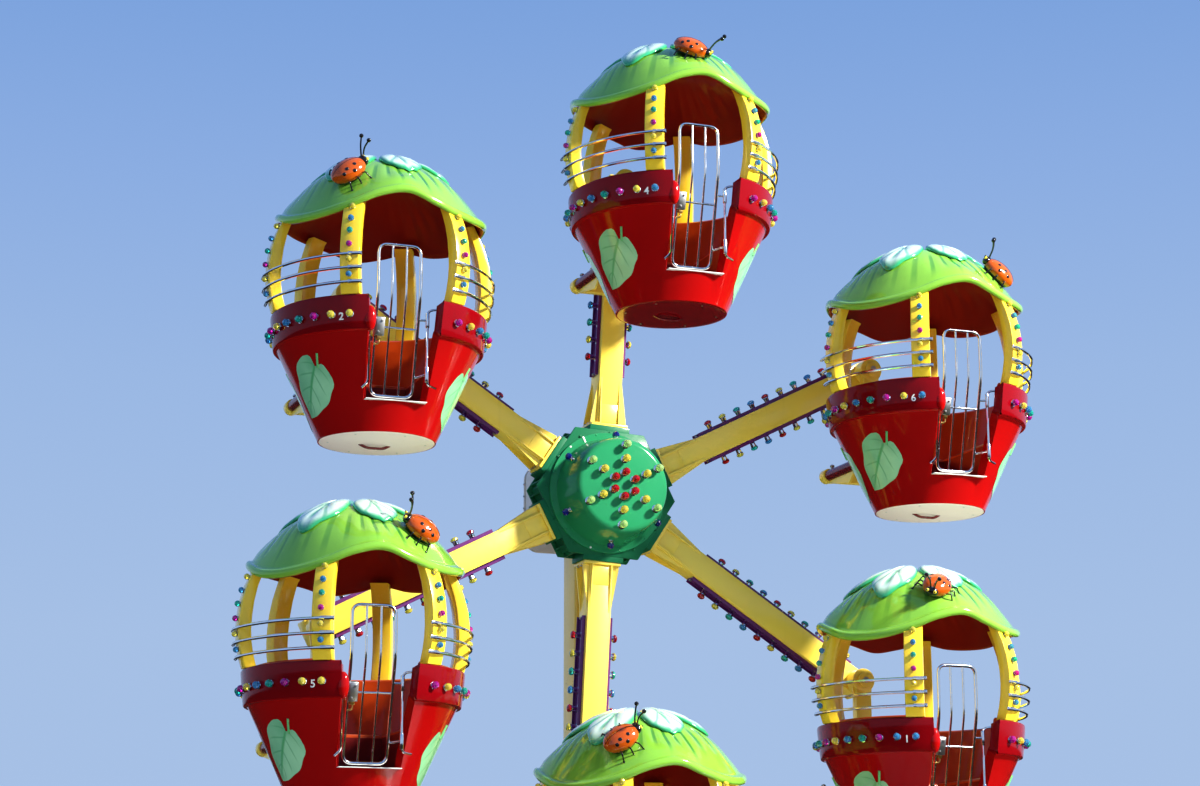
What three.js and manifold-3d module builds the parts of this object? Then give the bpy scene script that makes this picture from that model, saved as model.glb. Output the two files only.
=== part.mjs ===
// Small fairground wheel with six flower pot cabins on one mast.
// Millimetres, +Z up, the wheel turns about Y and its front faces -Y.
// The origin is on the ground, under the hub, in the middle plane of the arms.

import * as THREE from 'three';
import { mergeVertices } from 'three/addons/utils/BufferGeometryUtils.js';
import Module from 'manifold-3d';

const wasm = await Module();
wasm.setup();

// Wheel
const hubHeight = 4400;
const pivotCircle = 2120;
const wheelTurn = -3;
const armCount = 6;
const armWidth = 160;
const armDepth = 170;
const hubCornerRadius = 477;
const hubDepth = 230;
const hubFlat = hubCornerRadius * Math.cos(Math.PI / 6);
const flangeThickness = 20;
const flangeWidth = 250;
const gussetLength = 345;
const channelThickness = 24;
const channelWidth = 104;
const shaftRadius = 60;
const pinRadius = 30;
const pinLength = 125;

// Mast and base
const mastWidth = 240;
const mastFront = 160;
const headFront = 140;
const headRear = 850;
const headHalfWidth = 250;
const headAbove = 340;
const headBelow = 250;
const beamWidth = 160;
const beamHeight = 200;
const footHeight = 40;
const beamTop = footHeight + beamHeight;
const baseHalfWidth = 1400;
const baseFront = -2900;
const baseRear = 1100;

// Loading deck
const deckHeight = 980;
const deckThickness = 60;
const deckHalfWidth = 1500;
const deckRear = -420;
const guardHeight = 950;
const guardTube = 42;
const guardRear = -1950;
const stepHalfWidth = 600;
const stepCount = 4;
const stepGoing = 290;

// Cabin, measured from its pivot, with its middle line this far in front of the arms
const cabinReach = 980;
const rimDrop = 376;
const potHeight = 749;
const rimRadius = 650;
const bottomRadius = 351;
const bandHeight = 200;
const bandStep = 23;
const wallThickness = 68;
const floorThickness = 70;
const sillHeight = 172;
const doorHalfAtSill = 186;
const doorHalfAtRim = 226;
const ringThickness = 12;
const postWidth = 115;
const postDepth = 75;
const postAngles = [-150, -90, -30, 30, 90, 150];
const railRadius = 11;
const railHeights = [65, 146, 227];
const roofTop = 612;

// Clockwise from the top, seen from the front
const cabinNumbers = [4, 6, 1, 3, 5, 2];

// Where each cabin's ladybug sits: angle round the roof, distance from its middle, and the way it faces
const ladybugPlaces = [
  { turn: -4, reach: 405, heading: 62 },
  { turn: 43, reach: 485, heading: -113 },
  { turn: -13, reach: 470, heading: -42 },
  { turn: -33, reach: 480, heading: 95 },
  { turn: 33, reach: 482, heading: -110 },
  { turn: -38, reach: 475, heading: 100 },
];

// Pieces that touch stand this far apart
const touch = 0.3;

const paint = {
  potRed: new THREE.MeshStandardMaterial({ color: 0xb5121b, roughness: 0.2, metalness: 0 }),
  leafGreen: new THREE.MeshStandardMaterial({ color: 0x74c043, roughness: 0.3, metalness: 0 }),
  hubGreen: new THREE.MeshStandardMaterial({ color: 0x159a55, roughness: 0.25, metalness: 0 }),
  yellow: new THREE.MeshStandardMaterial({ color: 0xe8c53a, roughness: 0.3, metalness: 0 }),
  benchOrange: new THREE.MeshStandardMaterial({ color: 0xe8641b, roughness: 0.35, metalness: 0 }),
  chrome: new THREE.MeshStandardMaterial({ color: 0xd0d2d4, roughness: 0.15, metalness: 1 }),
  warmGrey: new THREE.MeshStandardMaterial({ color: 0xc9c3b8, roughness: 0.4, metalness: 0 }),
  deckSteel: new THREE.MeshStandardMaterial({ color: 0x8d9194, roughness: 0.5, metalness: 0.8 }),
};

// A closed geometry becomes a solid once its doubled corners are merged.
function solidFrom(geometry) {
  const bare = geometry.clone();
  bare.deleteAttribute('normal');
  bare.deleteAttribute('uv');
  const merged = mergeVertices(bare, 1e-3);
  return new wasm.Manifold(new wasm.Mesh({
    numProp: 3,
    vertProperties: new Float32Array(merged.attributes.position.array),
    triVerts: new Uint32Array(merged.index.array),
  }));
}

function geometryFrom(solid) {
  const mesh = solid.getMesh();
  const geometry = new THREE.BufferGeometry();
  geometry.setAttribute('position', new THREE.BufferAttribute(mesh.vertProperties, 3));
  geometry.setIndex(new THREE.BufferAttribute(mesh.triVerts, 1));
  geometry.computeVertexNormals();
  return geometry;
}

function joined(geometries) {
  return geometries.map(solidFrom).reduce((whole, piece) => whole.add(piece));
}

function box(x0, x1, y0, y1, z0, z1) {
  const geometry = new THREE.BoxGeometry(x1 - x0, y1 - y0, z1 - z0);
  return geometry.translate((x0 + x1) / 2, (y0 + y1) / 2, (z0 + z1) / 2);
}

// A lathe whose profile is [radius, height] pairs, standing on +Z.
function turned(profile, segments) {
  const points = profile.map(([radius, height]) => new THREE.Vector2(radius, height));
  return new THREE.LatheGeometry(points, segments).rotateX(Math.PI / 2);
}

// An outline of [x, z] pairs, given its depth from y0 to y1.
function plate(outline, y0, y1) {
  const shape = new THREE.Shape(outline.map(([x, z]) => new THREE.Vector2(x, z)));
  const geometry = new THREE.ExtrudeGeometry(shape, { depth: y1 - y0, bevelEnabled: false });
  return geometry.rotateX(Math.PI / 2).translate(0, y1, 0);
}

// A straight round bar between two points.
function bar(start, end, radius, sides = 6) {
  const from = new THREE.Vector3(...start);
  const to = new THREE.Vector3(...end);
  const geometry = new THREE.CylinderGeometry(radius, radius, from.distanceTo(to), sides);
  const turn = new THREE.Quaternion().setFromUnitVectors(
    new THREE.Vector3(0, 1, 0), to.clone().sub(from).normalize());
  const middle = from.clone().add(to).multiplyScalar(0.5);
  return geometry.applyQuaternion(turn).translate(middle.x, middle.y, middle.z);
}

// Angle 0 is the cabin's front, -Y, and a positive angle goes to +X.
function aroundCabin(degrees, radius, height) {
  const angle = THREE.MathUtils.degToRad(degrees);
  return new THREE.Vector3(radius * Math.sin(angle), -radius * Math.cos(angle), height);
}

function turnedAbout(geometry, degrees) {
  return geometry.rotateZ(THREE.MathUtils.degToRad(degrees));
}

// Pot wall

const latheSides = 24;
const coneTop = rimRadius - bandStep - 22;

function doorway(heightAbove) {
  const slope = (doorHalfAtRim - doorHalfAtSill) / (potHeight - sillHeight);
  const top = doorHalfAtRim + slope * heightAbove;
  const sill = sillHeight - potHeight;
  const outline = [[-doorHalfAtSill, sill], [doorHalfAtSill, sill], [top, heightAbove], [-top, heightAbove]];
  return solidFrom(plate(outline, -rimRadius - 150, -bottomRadius + 90));
}

function innerWall(height) {
  const floor = -potHeight + floorThickness;
  const floorRadius = bottomRadius - wallThickness + 20;
  const rimInner = rimRadius - wallThickness;
  return floorRadius + ((height - floor) / -floor) * (rimInner - floorRadius);
}

function tubGeometry() {
  const floor = -potHeight + floorThickness;
  const top = -ringThickness - touch;
  const profile = [
    [0, -potHeight], [bottomRadius, -potHeight], [coneTop, -bandHeight],
    [coneTop + bandStep, -bandHeight + 6], [rimRadius, top], [innerWall(top), top],
    [innerWall(floor), floor], [0, floor],
  ];
  const shell = solidFrom(turned(profile, latheSides)).subtract(doorway(60));
  const brackets = [
    box(gateHingeX - 16, 222, gateHingeY - 16, -405, hingeLow - 23, hingeLow - 5),
    box(gateHingeX - 16, 256, gateHingeY - 16, gateHingeY + 10, hingeHigh + 5, hingeHigh + 23),
  ].map(solidFrom);
  return geometryFrom(brackets.reduce((whole, piece) => whole.add(piece), shell));
}

// Posts, rails and the ring that they stand on

// The post's outer face as [radius, height above the rim], from the ring to the roof
const postFace = [[655, 0], [690, 150], [689, 290], [640, 470], [574, 600]];
const seatHeight = 600;

function postOuter(height) {
  const above = postFace.findIndex(([, z]) => z > height);
  const [[r0, z0], [r1, z1]] = postFace.slice(above - 1, above + 1);
  return r0 + ((height - z0) / (z1 - z0)) * (r1 - r0);
}

function postGeometry(angle) {
  const foot = -4;
  const outer = postFace.map(([radius, height]) => [radius, Math.max(height, 0) || foot]);
  const inner = outer.map(([radius, height]) => [radius - postDepth, height]).reverse();
  const geometry = plate([...outer, ...inner], -postWidth / 2, postWidth / 2);
  return turnedAbout(geometry, angle - 90);
}

function railGeometry(height, side) {
  const first = 26;
  const last = 95;
  const offPost = [7, 4, -10, 4, 7];
  const path = offPost.map((offset, i) => {
    const share = i / (offPost.length - 1);
    return aroundCabin(side * (first + share * (last - first)), postOuter(height) + offset, height);
  });
  const section = new THREE.Shape([
    new THREE.Vector2(railRadius, 0), new THREE.Vector2(0, railRadius),
    new THREE.Vector2(-railRadius, 0), new THREE.Vector2(0, -railRadius)]);
  return new THREE.ExtrudeGeometry(section, { extrudePath: new THREE.CatmullRomCurve3(path), steps: 4 });
}

function canopyFrameGeometry() {
  const inside = rimRadius - wallThickness + 1;
  const ring = solidFrom(turned([
    [inside, -ringThickness], [rimRadius + 2, -ringThickness], [rimRadius + 2, 0],
    [inside, 0], [inside, -ringThickness]], latheSides));
  let frame = ring.subtract(doorway(60)).translate(0, 0, -rimDrop);
  for (const angle of postAngles) {
    frame = frame.add(solidFrom(postGeometry(angle)).translate(0, 0, -rimDrop));
  }
  for (const side of [-1, 1]) {
    for (const height of railHeights) {
      frame = frame.add(solidFrom(railGeometry(height, side)).translate(0, 0, -rimDrop));
    }
  }
  return geometryFrom(frame);
}

// Height of the roof's wavy brim, every 15 degrees from the front towards +X
const brimHeights = [250, 200, 163, 158, 175, 200, 200, 168, 165, 180, 218, 185,
  160, 195, 215, 225, 235, 225, 180, 130, 108, 118, 160, 222];
const brimMean = 200;
const brimStart = 604;
const brimFull = 624;

function brimHeight(degrees) {
  const place = ((degrees + 360) % 360) / 15;
  const index = Math.floor(place);
  const next = brimHeights[(index + 1) % brimHeights.length];
  const here = brimHeights[index % brimHeights.length];
  return here + (place - index) * (next - here);
}

// Only the part outside the posts waves, so that the roof's seat stays flat.
function waved(geometry) {
  const place = geometry.attributes.position;
  for (let i = 0; i < place.count; i += 1) {
    const radius = Math.hypot(place.getX(i), place.getY(i));
    const angle = THREE.MathUtils.radToDeg(Math.atan2(place.getX(i), -place.getY(i)));
    const share = THREE.MathUtils.clamp((radius - brimStart) / (brimFull - brimStart), 0, 1);
    place.setZ(i, place.getZ(i) + share * (brimHeight(angle) - brimMean));
  }
  return geometry;
}

const roofOutside = [[640, 214], [629, 249], [557, 318], [470, 409], [350, 506], [190, 584], [0, roofTop]];

function roofShell() {
  const seat = seatHeight - rimDrop + touch;
  const inside = [[0, 520], [390, 400], [460, seat], [600, seat], [624, 199]];
  return solidFrom(waved(turned([...inside, ...roofOutside], latheSides)));
}

function roofSurface(radius) {
  const inner = roofOutside.findIndex(([r]) => r <= radius);
  const [[r0, z0], [r1, z1]] = roofOutside.slice(inner - 1, inner + 1);
  return { height: z0 + ((radius - r0) / (r1 - r0)) * (z1 - z0), slope: Math.atan2(z1 - z0, r0 - r1) };
}

// Roof with its flower of petals and its ladybug

const petalCount = 6;
const petalTurn = 7;
const petalReach = 240;
const petalSize = [150, 214, 40];
const ladybugSize = [89, 114, 62];
const ladybugLift = 40;

// A flattened ball, its length along Y
function flatBall(size) {
  return new THREE.SphereGeometry(1, 8, 5).rotateX(Math.PI / 2).scale(...size);
}

// A petal bends with the roof that it lies on
function petalGeometry(turn) {
  const petal = flatBall(petalSize).translate(0, -petalReach, 0);
  const place = petal.attributes.position;
  for (let i = 0; i < place.count; i += 1) {
    const radius = Math.hypot(place.getX(i), place.getY(i));
    place.setZ(i, place.getZ(i) + roofSurface(radius).height);
  }
  return turnedAbout(petal, turn);
}

function ladybugGeometry({ turn, reach, heading }) {
  const { height, slope } = roofSurface(reach);
  const body = flatBall(ladybugSize).rotateZ(THREE.MathUtils.degToRad(heading - turn));
  body.rotateX(slope).translate(0, -reach, height + ladybugLift);
  return turnedAbout(body, turn);
}

function roofGeometry(place) {
  let roof = roofShell();
  for (let i = 0; i < petalCount; i += 1) {
    roof = roof.add(solidFrom(petalGeometry(petalTurn + (360 / petalCount) * i)));
  }
  return geometryFrom(roof.add(solidFrom(ladybugGeometry(place))));
}

// Bench along the wall on three sides, round a straight-sided foot well

const footWellHalfWidth = 240;
const footWellRear = 240;
const seatHeightInPot = -330;

function benchGeometry() {
  const floor = -potHeight + floorThickness + touch;
  const outerAt = (height) => innerWall(height) - 0.6;
  const profile = [
    [0, floor], [outerAt(floor), floor], [outerAt(seatHeightInPot), seatHeightInPot], [0, seatHeightInPot],
  ];
  const seats = solidFrom(turned(profile, latheSides));
  const footWell = solidFrom(
    box(-footWellHalfWidth, footWellHalfWidth, -rimRadius, footWellRear, -potHeight, 60));
  return geometryFrom(seats.subtract(footWell));
}

// Gate, hinged at its right hand side

const gateHingeX = 150;
const gateHingeY = -528;
const hingeLow = -potHeight + 265;
const hingeHigh = -60;
const gateLeft = -156;
const gateRight = 98;
const gateTop = 322;
const gateMiddle = -300;
const gateBottom = -552;
const gateUpperY = -553;
const gateLowerY = -402;
const gateKink = -20;
const gateBar = 22;
const gateUprights = 4;

function gateY(height) {
  if (height >= gateKink) return gateUpperY;
  return gateUpperY + ((gateKink - height) / (gateKink - gateBottom)) * (gateLowerY - gateUpperY);
}

// A flat grille of upright bars between cross bars at the given heights
function grille(heights) {
  const pitch = (gateRight - gateLeft) / (gateUprights - 1);
  const half = gateBar / 2;
  let solid = solidFrom(box(gateLeft - half, gateRight + half, -half, half, heights[0] - half, heights.at(-1) + half));
  for (let level = 0; level < heights.length - 1; level += 1) {
    for (let i = 0; i < gateUprights - 1; i += 1) {
      const x = gateLeft + pitch * i;
      const opening = box(x + half, x + pitch - half, -gateBar, gateBar, heights[level] + half, heights[level + 1] - half);
      solid = solid.subtract(solidFrom(opening));
    }
  }
  return geometryFrom(solid);
}

function gateGeometry() {
  const drop = gateKink - gateBottom;
  const lean = Math.atan2(gateLowerY - gateUpperY, drop);
  const slant = Math.hypot(gateLowerY - gateUpperY, drop);
  const middle = (slant * (gateKink - gateMiddle)) / drop;
  const lower = grille([-slant, -middle, 0]).rotateX(lean).translate(0, gateUpperY, gateKink);
  const upper = grille([0, gateTop - gateKink]).translate(0, gateUpperY, gateKink);
  const low = hingeLow - 5 + touch;
  const high = hingeHigh + 5 - touch;
  const pieces = [lower, upper, bar([gateHingeX, gateHingeY, low], [gateHingeX, gateHingeY, high], 11, 8)];
  for (const height of [hingeLow + 40, hingeHigh - 40]) {
    pieces.push(bar([gateRight, gateY(height), height], [gateHingeX, gateHingeY, height], 9, 4));
  }
  pieces.push(box(gateLeft - 36, gateLeft + 5, gateY(-80) - 22, gateY(-80) + 22, -115, -45));
  return geometryFrom(joined(pieces));
}

// Hanger from the pivot to the back of the pot

const carrierDrop = 757;
const carrierSpread = 330;

function hangerGeometry() {
  const front = -(armDepth / 2 + touch);
  const ringSides = 12;
  const boss = turned([[pinRadius + 1.6, 0], [78, 0], [78, 112], [pinRadius + 1.6, 112], [pinRadius + 1.6, 0]],
    ringSides).rotateX(Math.PI / 2).translate(0, front, 0);
  const column = box(-55, 55, -190, -125, -carrierDrop - 20, -60);
  const cross = box(-carrierSpread, carrierSpread, -190, -130, -carrierDrop - 40, -carrierDrop + 40);
  const pieces = [boss, column, cross];
  for (const side of [-1, 1]) {
    const x = side * carrierSpread;
    pieces.push(bar([x, -128, -carrierDrop], [x, -198, -carrierDrop], 58, 8));
    pieces.push(bar([x, -190, -carrierDrop], [x, -cabinReach + 200, -carrierDrop], 38, 8));
    pieces.push(bar([x, -240, -carrierDrop + 20], [x, -240, -carrierDrop + 62], 13, 4));
    const web = [[-150, -carrierDrop - 50], [-cabinReach + 240, -carrierDrop - 130],
      [-cabinReach + 200, -carrierDrop - 30], [-150, -carrierDrop - 10]];
    const rib = plate(web, -7, 7).rotateZ(Math.PI / 2).translate(x, 0, 0);
    pieces.push(rib);
  }
  let hanger = joined(pieces);
  const potGap = touch;
  const clear = turned([
    [0, -potHeight - potGap], [bottomRadius + potGap, -potHeight - potGap],
    [coneTop + potGap, -bandHeight - potGap], [0, -bandHeight - potGap]], latheSides);
  hanger = hanger.subtract(solidFrom(clear).translate(0, -cabinReach, -rimDrop));
  return geometryFrom(hanger);
}

// Arm, drawn pointing up from the hub's middle

function armGeometry() {
  const foot = hubFlat + touch;
  const tip = pivotCircle + 62;
  const half = armWidth / 2;
  const deep = armDepth / 2;
  const pieces = [
    box(-half, half, -deep, deep, foot, tip),
    box(-flangeWidth / 2, flangeWidth / 2, -deep - 18, deep + 18, foot, foot + flangeThickness),
  ];
  const web = [[half - 4, foot], [flangeWidth / 2, foot], [flangeWidth / 2, foot + 40], [half - 4, foot + gussetLength]];
  for (const side of [-1, 1]) {
    const outline = web.map(([x, z]) => [side * x, z]);
    if (side < 0) outline.reverse();
    pieces.push(plate(outline, -deep + 14, -deep + 28));
    pieces.push(plate(outline, deep - 28, deep - 14));
    const inner = half - 2;
    const outer = half + channelThickness;
    const start = foot + gussetLength + 8;
    const end = pivotCircle - 90;
    pieces.push(box(Math.min(side * inner, side * outer), Math.max(side * inner, side * outer),
      -channelWidth / 2, channelWidth / 2, start, end));
  }
  pieces.push(bar([0, -deep + 5, pivotCircle], [0, -deep - pinLength, pivotCircle], pinRadius, 12));
  pieces.push(bar([0, -deep - pinLength + 10, pivotCircle], [0, -deep - pinLength - 16, pivotCircle], 50, 8));
  return geometryFrom(joined(pieces));
}

function hubGeometry() {
  const corner = Math.PI / 3;
  const points = [];
  for (let i = 0; i < armCount; i += 1) {
    const angle = i * corner;
    points.push([hubCornerRadius * Math.cos(angle), hubCornerRadius * Math.sin(angle)]);
  }
  const block = solidFrom(plate(points, -hubDepth / 2, hubDepth / 2));
  const boss = solidFrom(bar([0, hubDepth / 2 - 5, 0], [0, headFront - touch, 0], 120, 24));
  const shaft = solidFrom(bar([0, hubDepth / 2 - 5, 0], [0, headRear + 40, 0], shaftRadius, 24));
  const nut = solidFrom(bar([0, headRear + touch, 0], [0, headRear + 34, 0], 88, 6));
  return geometryFrom(block.add(boss).add(shaft).add(nut));
}

function hubCapGeometry() {
  const base = hubDepth / 2 + touch;
  const profile = [[0, base], [398, base], [398, base + 18], [372, base + 22], [352, base + 150],
    [338, base + 262], [311, base + 306], [0, base + 306]];
  return turned(profile, 24).rotateX(Math.PI / 2);
}

// Mast

function mastColumnGeometry() {
  const top = hubHeight - headBelow - touch;
  const foot = beamTop + touch;
  const half = mastWidth / 2;
  const rear = mastFront + mastWidth;
  const middle = (mastFront + rear) / 2;
  const pieces = [
    box(-half, half, mastFront, rear, foot, top),
    box(-240, 240, middle - 240, middle + 240, foot, foot + 30),
    plate([[-235, foot + 20], [235, foot + 20], [half - 10, foot + 520], [10 - half, foot + 520]],
      middle - 8, middle + 8),
  ];
  const fin = plate([[-235, foot + 20], [235, foot + 20], [half - 10, foot + 520], [10 - half, foot + 520]], -8, 8);
  pieces.push(fin.rotateZ(Math.PI / 2).translate(0, middle, 0));
  return geometryFrom(joined(pieces));
}

function roundedShape(halfWidth, low, high, radius) {
  const shape = new THREE.Shape();
  shape.moveTo(-halfWidth + radius, low);
  shape.lineTo(halfWidth - radius, low);
  shape.absarc(halfWidth - radius, low + radius, radius, -Math.PI / 2, 0);
  shape.lineTo(halfWidth, high - radius);
  shape.absarc(halfWidth - radius, high - radius, radius, 0, Math.PI / 2);
  shape.lineTo(-halfWidth + radius, high);
  shape.absarc(-halfWidth + radius, high - radius, radius, Math.PI / 2, Math.PI);
  shape.lineTo(-halfWidth, low + radius);
  shape.absarc(-halfWidth + radius, low + radius, radius, Math.PI, Math.PI * 1.5);
  return shape;
}

function mastHeadGeometry() {
  const shape = roundedShape(headHalfWidth, -headBelow, headAbove, 100);
  const options = { depth: headRear - headFront, bevelEnabled: false, curveSegments: 3 };
  const housing = new THREE.ExtrudeGeometry(shape, options).rotateX(Math.PI / 2).translate(0, headRear, 0);
  const bore = bar([0, headFront - 50, 0], [0, headRear + 50, 0], shaftRadius + 2, 24);
  return geometryFrom(solidFrom(housing).subtract(solidFrom(bore)));
}

// Base

function sideBeamGeometry() {
  const pieces = [box(-beamWidth / 2, beamWidth / 2, baseFront, baseRear, footHeight, beamTop)];
  for (const y of [baseFront + 420, -800, baseRear - 400]) {
    pieces.push(bar([0, y, 0], [0, y, footHeight + 5], 130, 8));
  }
  return geometryFrom(joined(pieces));
}

function crossBeamGeometry(depth) {
  const half = baseHalfWidth - beamWidth / 2 - touch;
  const pad = Math.min(130, depth / 2 - 10);
  const padY = -depth / 2 + pad + 20;
  const pieces = [box(-half, half, -depth / 2, depth / 2, footHeight, beamTop),
    bar([0, padY, 0], [0, padY, footHeight + 5], pad, 8)];
  return geometryFrom(joined(pieces));
}

// Deck

const guardInset = 60;
const legSize = 90;
const legPlaces = [baseFront + 90, -1700, deckRear - 120];

function trestleGeometry() {
  const top = deckHeight - deckThickness - touch;
  const half = legSize / 2;
  const pieces = [box(-half, half, baseFront + 20, deckRear - 20, top - 120, top)];
  for (const y of legPlaces) pieces.push(box(-half, half, y - half, y + half, beamTop + touch, top - 5));
  return geometryFrom(joined(pieces));
}

function stepsGeometry() {
  const rise = deckHeight / (stepCount + 1);
  const front = baseFront - stepCount * stepGoing;
  const pieces = [];
  for (const side of [-1, 1]) {
    const x = side * stepHalfWidth;
    const outline = [[front - 30, 0], [front + 260, 0], [baseFront - touch, deckHeight - 330],
      [baseFront - touch, deckHeight - 10], [front - 30, rise + 40]];
    pieces.push(plate(outline, -12, 12).rotateZ(Math.PI / 2).translate(x, 0, 0));
  }
  for (let i = 0; i < stepCount; i += 1) {
    const y = front + i * stepGoing;
    const z = (i + 1) * rise;
    pieces.push(box(-stepHalfWidth, stepHalfWidth, y, y + stepGoing - 20, z - 45, z));
  }
  return geometryFrom(joined(pieces));
}

// One side's guard rail, with its short return along the front
function guardGeometry(side) {
  const low = deckHeight + touch;
  const half = guardTube / 2;
  const x = side * (deckHalfWidth - guardInset);
  const gateX = side * (stepHalfWidth + 40);
  const front = baseFront + guardInset;
  const rear = guardRear;
  const pieces = [];
  const posts = [[x, front], [x, rear], [gateX, front]];
  for (const [px, py] of posts) {
    pieces.push(box(px - half, px + half, py - half, py + half, low, low + guardHeight));
    pieces.push(box(px - 60, px + 60, py - 60, py + 60, low, low + 10));
  }
  for (const height of [guardHeight - half, guardHeight * 0.55, guardHeight * 0.2]) {
    const z = low + height;
    pieces.push(box(x - half, x + half, front - half, rear + half, z - half, z + half));
    pieces.push(box(Math.min(x, gateX), Math.max(x, gateX), front - half, front + half, z - half, z + half));
  }
  return geometryFrom(joined(pieces));
}

// Assembly

function named(name, geometry, material) {
  const mesh = new THREE.Mesh(geometry, material);
  mesh.name = name;
  return mesh;
}

function armAngle(index) {
  return THREE.MathUtils.degToRad(90 + wheelTurn - 60 * index);
}

function wheel() {
  const group = new THREE.Group();
  group.position.set(0, 0, hubHeight);
  const turn = new THREE.Group();
  turn.rotation.y = -THREE.MathUtils.degToRad(wheelTurn);
  turn.add(named('hub', hubGeometry(), paint.hubGreen), named('hub_cap', hubCapGeometry(), paint.hubGreen));
  group.add(turn);
  const shared = armGeometry();
  for (let i = 0; i < armCount; i += 1) {
    const arm = named(`arm_${i + 1}`, shared, paint.yellow);
    arm.rotation.y = Math.PI / 2 - armAngle(i);
    group.add(arm);
  }
  return group;
}

// Cabins keep upright, so each is placed by its pivot alone.
function cabin(index, shared) {
  const number = cabinNumbers[index];
  const angle = armAngle(index);
  const group = new THREE.Group();
  group.position.set(pivotCircle * Math.cos(angle), 0, hubHeight + pivotCircle * Math.sin(angle));
  group.add(named(`cabin_${number}_hanger`, shared.hanger, paint.yellow));
  const body = new THREE.Group();
  body.position.set(0, -cabinReach, 0);
  body.add(named(`cabin_${number}_posts`, shared.frame, paint.yellow));
  body.add(named(`cabin_${number}_roof`, roofGeometry(ladybugPlaces[index]), paint.leafGreen));
  const pot = new THREE.Group();
  pot.position.z = -rimDrop;
  pot.add(named(`cabin_${number}_tub`, shared.tub, paint.potRed));
  pot.add(named(`cabin_${number}_bench`, shared.bench, paint.benchOrange));
  pot.add(named(`cabin_${number}_gate`, shared.gate, paint.chrome));
  body.add(pot);
  group.add(body);
  return group;
}

function mast() {
  const group = new THREE.Group();
  const head = named('mast_head', mastHeadGeometry(), paint.warmGrey);
  head.position.z = hubHeight;
  group.add(named('mast_column', mastColumnGeometry(), paint.yellow), head);
  return group;
}

function base() {
  const group = new THREE.Group();
  const sideBeam = sideBeamGeometry();
  for (const [name, side] of [['left', -1], ['right', 1]]) {
    const beam = named(`base_beam_${name}`, sideBeam, paint.hubGreen);
    beam.position.x = side * baseHalfWidth;
    group.add(beam);
  }
  const places = [['front', baseFront + 150, 200], ['mast', 200, 700], ['rear', baseRear - 120, 200]];
  for (const [name, y, depth] of places) {
    const beam = named(`base_cross_${name}`, crossBeamGeometry(depth), paint.hubGreen);
    beam.position.y = y;
    group.add(beam);
  }
  return group;
}

function deck() {
  const group = new THREE.Group();
  const trestle = trestleGeometry();
  for (const [name, side] of [['left', -1], ['right', 1]]) {
    const frame = named(`deck_trestle_${name}`, trestle, paint.hubGreen);
    frame.position.x = side * baseHalfWidth;
    group.add(frame, named(`guard_rail_${name}`, guardGeometry(side), paint.yellow));
  }
  const top = box(-deckHalfWidth, deckHalfWidth, baseFront, deckRear, deckHeight - deckThickness, deckHeight);
  group.add(named('deck_plate', top, paint.deckSteel), named('front_steps', stepsGeometry(), paint.deckSteel));
  return group;
}

const shared = {
  hanger: hangerGeometry(),
  frame: canopyFrameGeometry(),
  tub: tubGeometry(),
  bench: benchGeometry(),
  gate: gateGeometry(),
};

const ferrisWheel = new THREE.Group();
ferrisWheel.add(base(), deck(), mast(), wheel());
for (let i = 0; i < armCount; i += 1) ferrisWheel.add(cabin(i, shared));

export default ferrisWheel;
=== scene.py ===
import math

import bmesh
import bpy
from mathutils import Matrix, Vector


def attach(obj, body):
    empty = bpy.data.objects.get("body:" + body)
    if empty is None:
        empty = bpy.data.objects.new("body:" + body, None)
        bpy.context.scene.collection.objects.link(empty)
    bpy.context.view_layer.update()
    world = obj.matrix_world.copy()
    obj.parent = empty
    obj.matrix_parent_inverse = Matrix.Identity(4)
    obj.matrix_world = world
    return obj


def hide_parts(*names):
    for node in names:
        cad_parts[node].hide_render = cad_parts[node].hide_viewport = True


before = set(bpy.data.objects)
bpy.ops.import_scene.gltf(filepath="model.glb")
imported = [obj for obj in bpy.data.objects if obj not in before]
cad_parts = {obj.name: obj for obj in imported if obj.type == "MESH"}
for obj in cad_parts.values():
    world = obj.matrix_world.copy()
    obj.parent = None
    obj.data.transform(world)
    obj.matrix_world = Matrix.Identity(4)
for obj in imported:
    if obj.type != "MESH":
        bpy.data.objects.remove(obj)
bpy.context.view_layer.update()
scene = bpy.context.scene
identity = Matrix.Identity(4)
print("frame loaded:", len(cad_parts), "nodes")


# Camera and lights

view = {
    "place": (-5.525, -15.082, 1.384),
    "yaw": 20.1,  # degrees from +Y towards +X
    "pitch": 13.0,
    "focalPixels": 2498.0,
    "imageWidth": 1200,
    "sensor": 36.0,
    "clipEnd": 2000,
}
studio = {
    "aim": (0, -0.8, 4.2),
    "lights": [  # name, place, size, watts, colour, whether the gloss mirrors it
        ("keyLight", (11.0, -11.2, 13.4), (2.0, 2.0), 8400, (1.0, 0.96, 0.88), True),
        ("fillLight", (-12.0, -12.0, 7.0), (8, 6), 60, (0.90, 0.95, 1.0), False),
        ("rimLight", (-5.0, 12.0, 11.0), (8, 5), 600, (1, 1, 1), False),
    ],
    "floorColour": (0.52, 0.50, 0.47),
    "floorRoughness": 0.7,
    "floorSize": 2400,
    "floorDrop": 0.002,
    "sky": [  # sine of the height above the horizon, colour
        (-0.02, (0.355, 0.470, 0.672)), (0.13, (0.345, 0.462, 0.668)), (0.23, (0.300, 0.425, 0.658)),
        (0.31, (0.245, 0.375, 0.645)), (0.40, (0.178, 0.315, 0.608)), (0.80, (0.120, 0.250, 0.550))],
    "groundColour": (0.030, 0.028, 0.026),
    "groundHeight": -0.035,  # sine of the height at which the ground's dark begins
    "worldStrength": 1.0,
}
scene.view_settings.view_transform = "Standard"
scene.view_settings.look = "Medium High Contrast"


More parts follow.
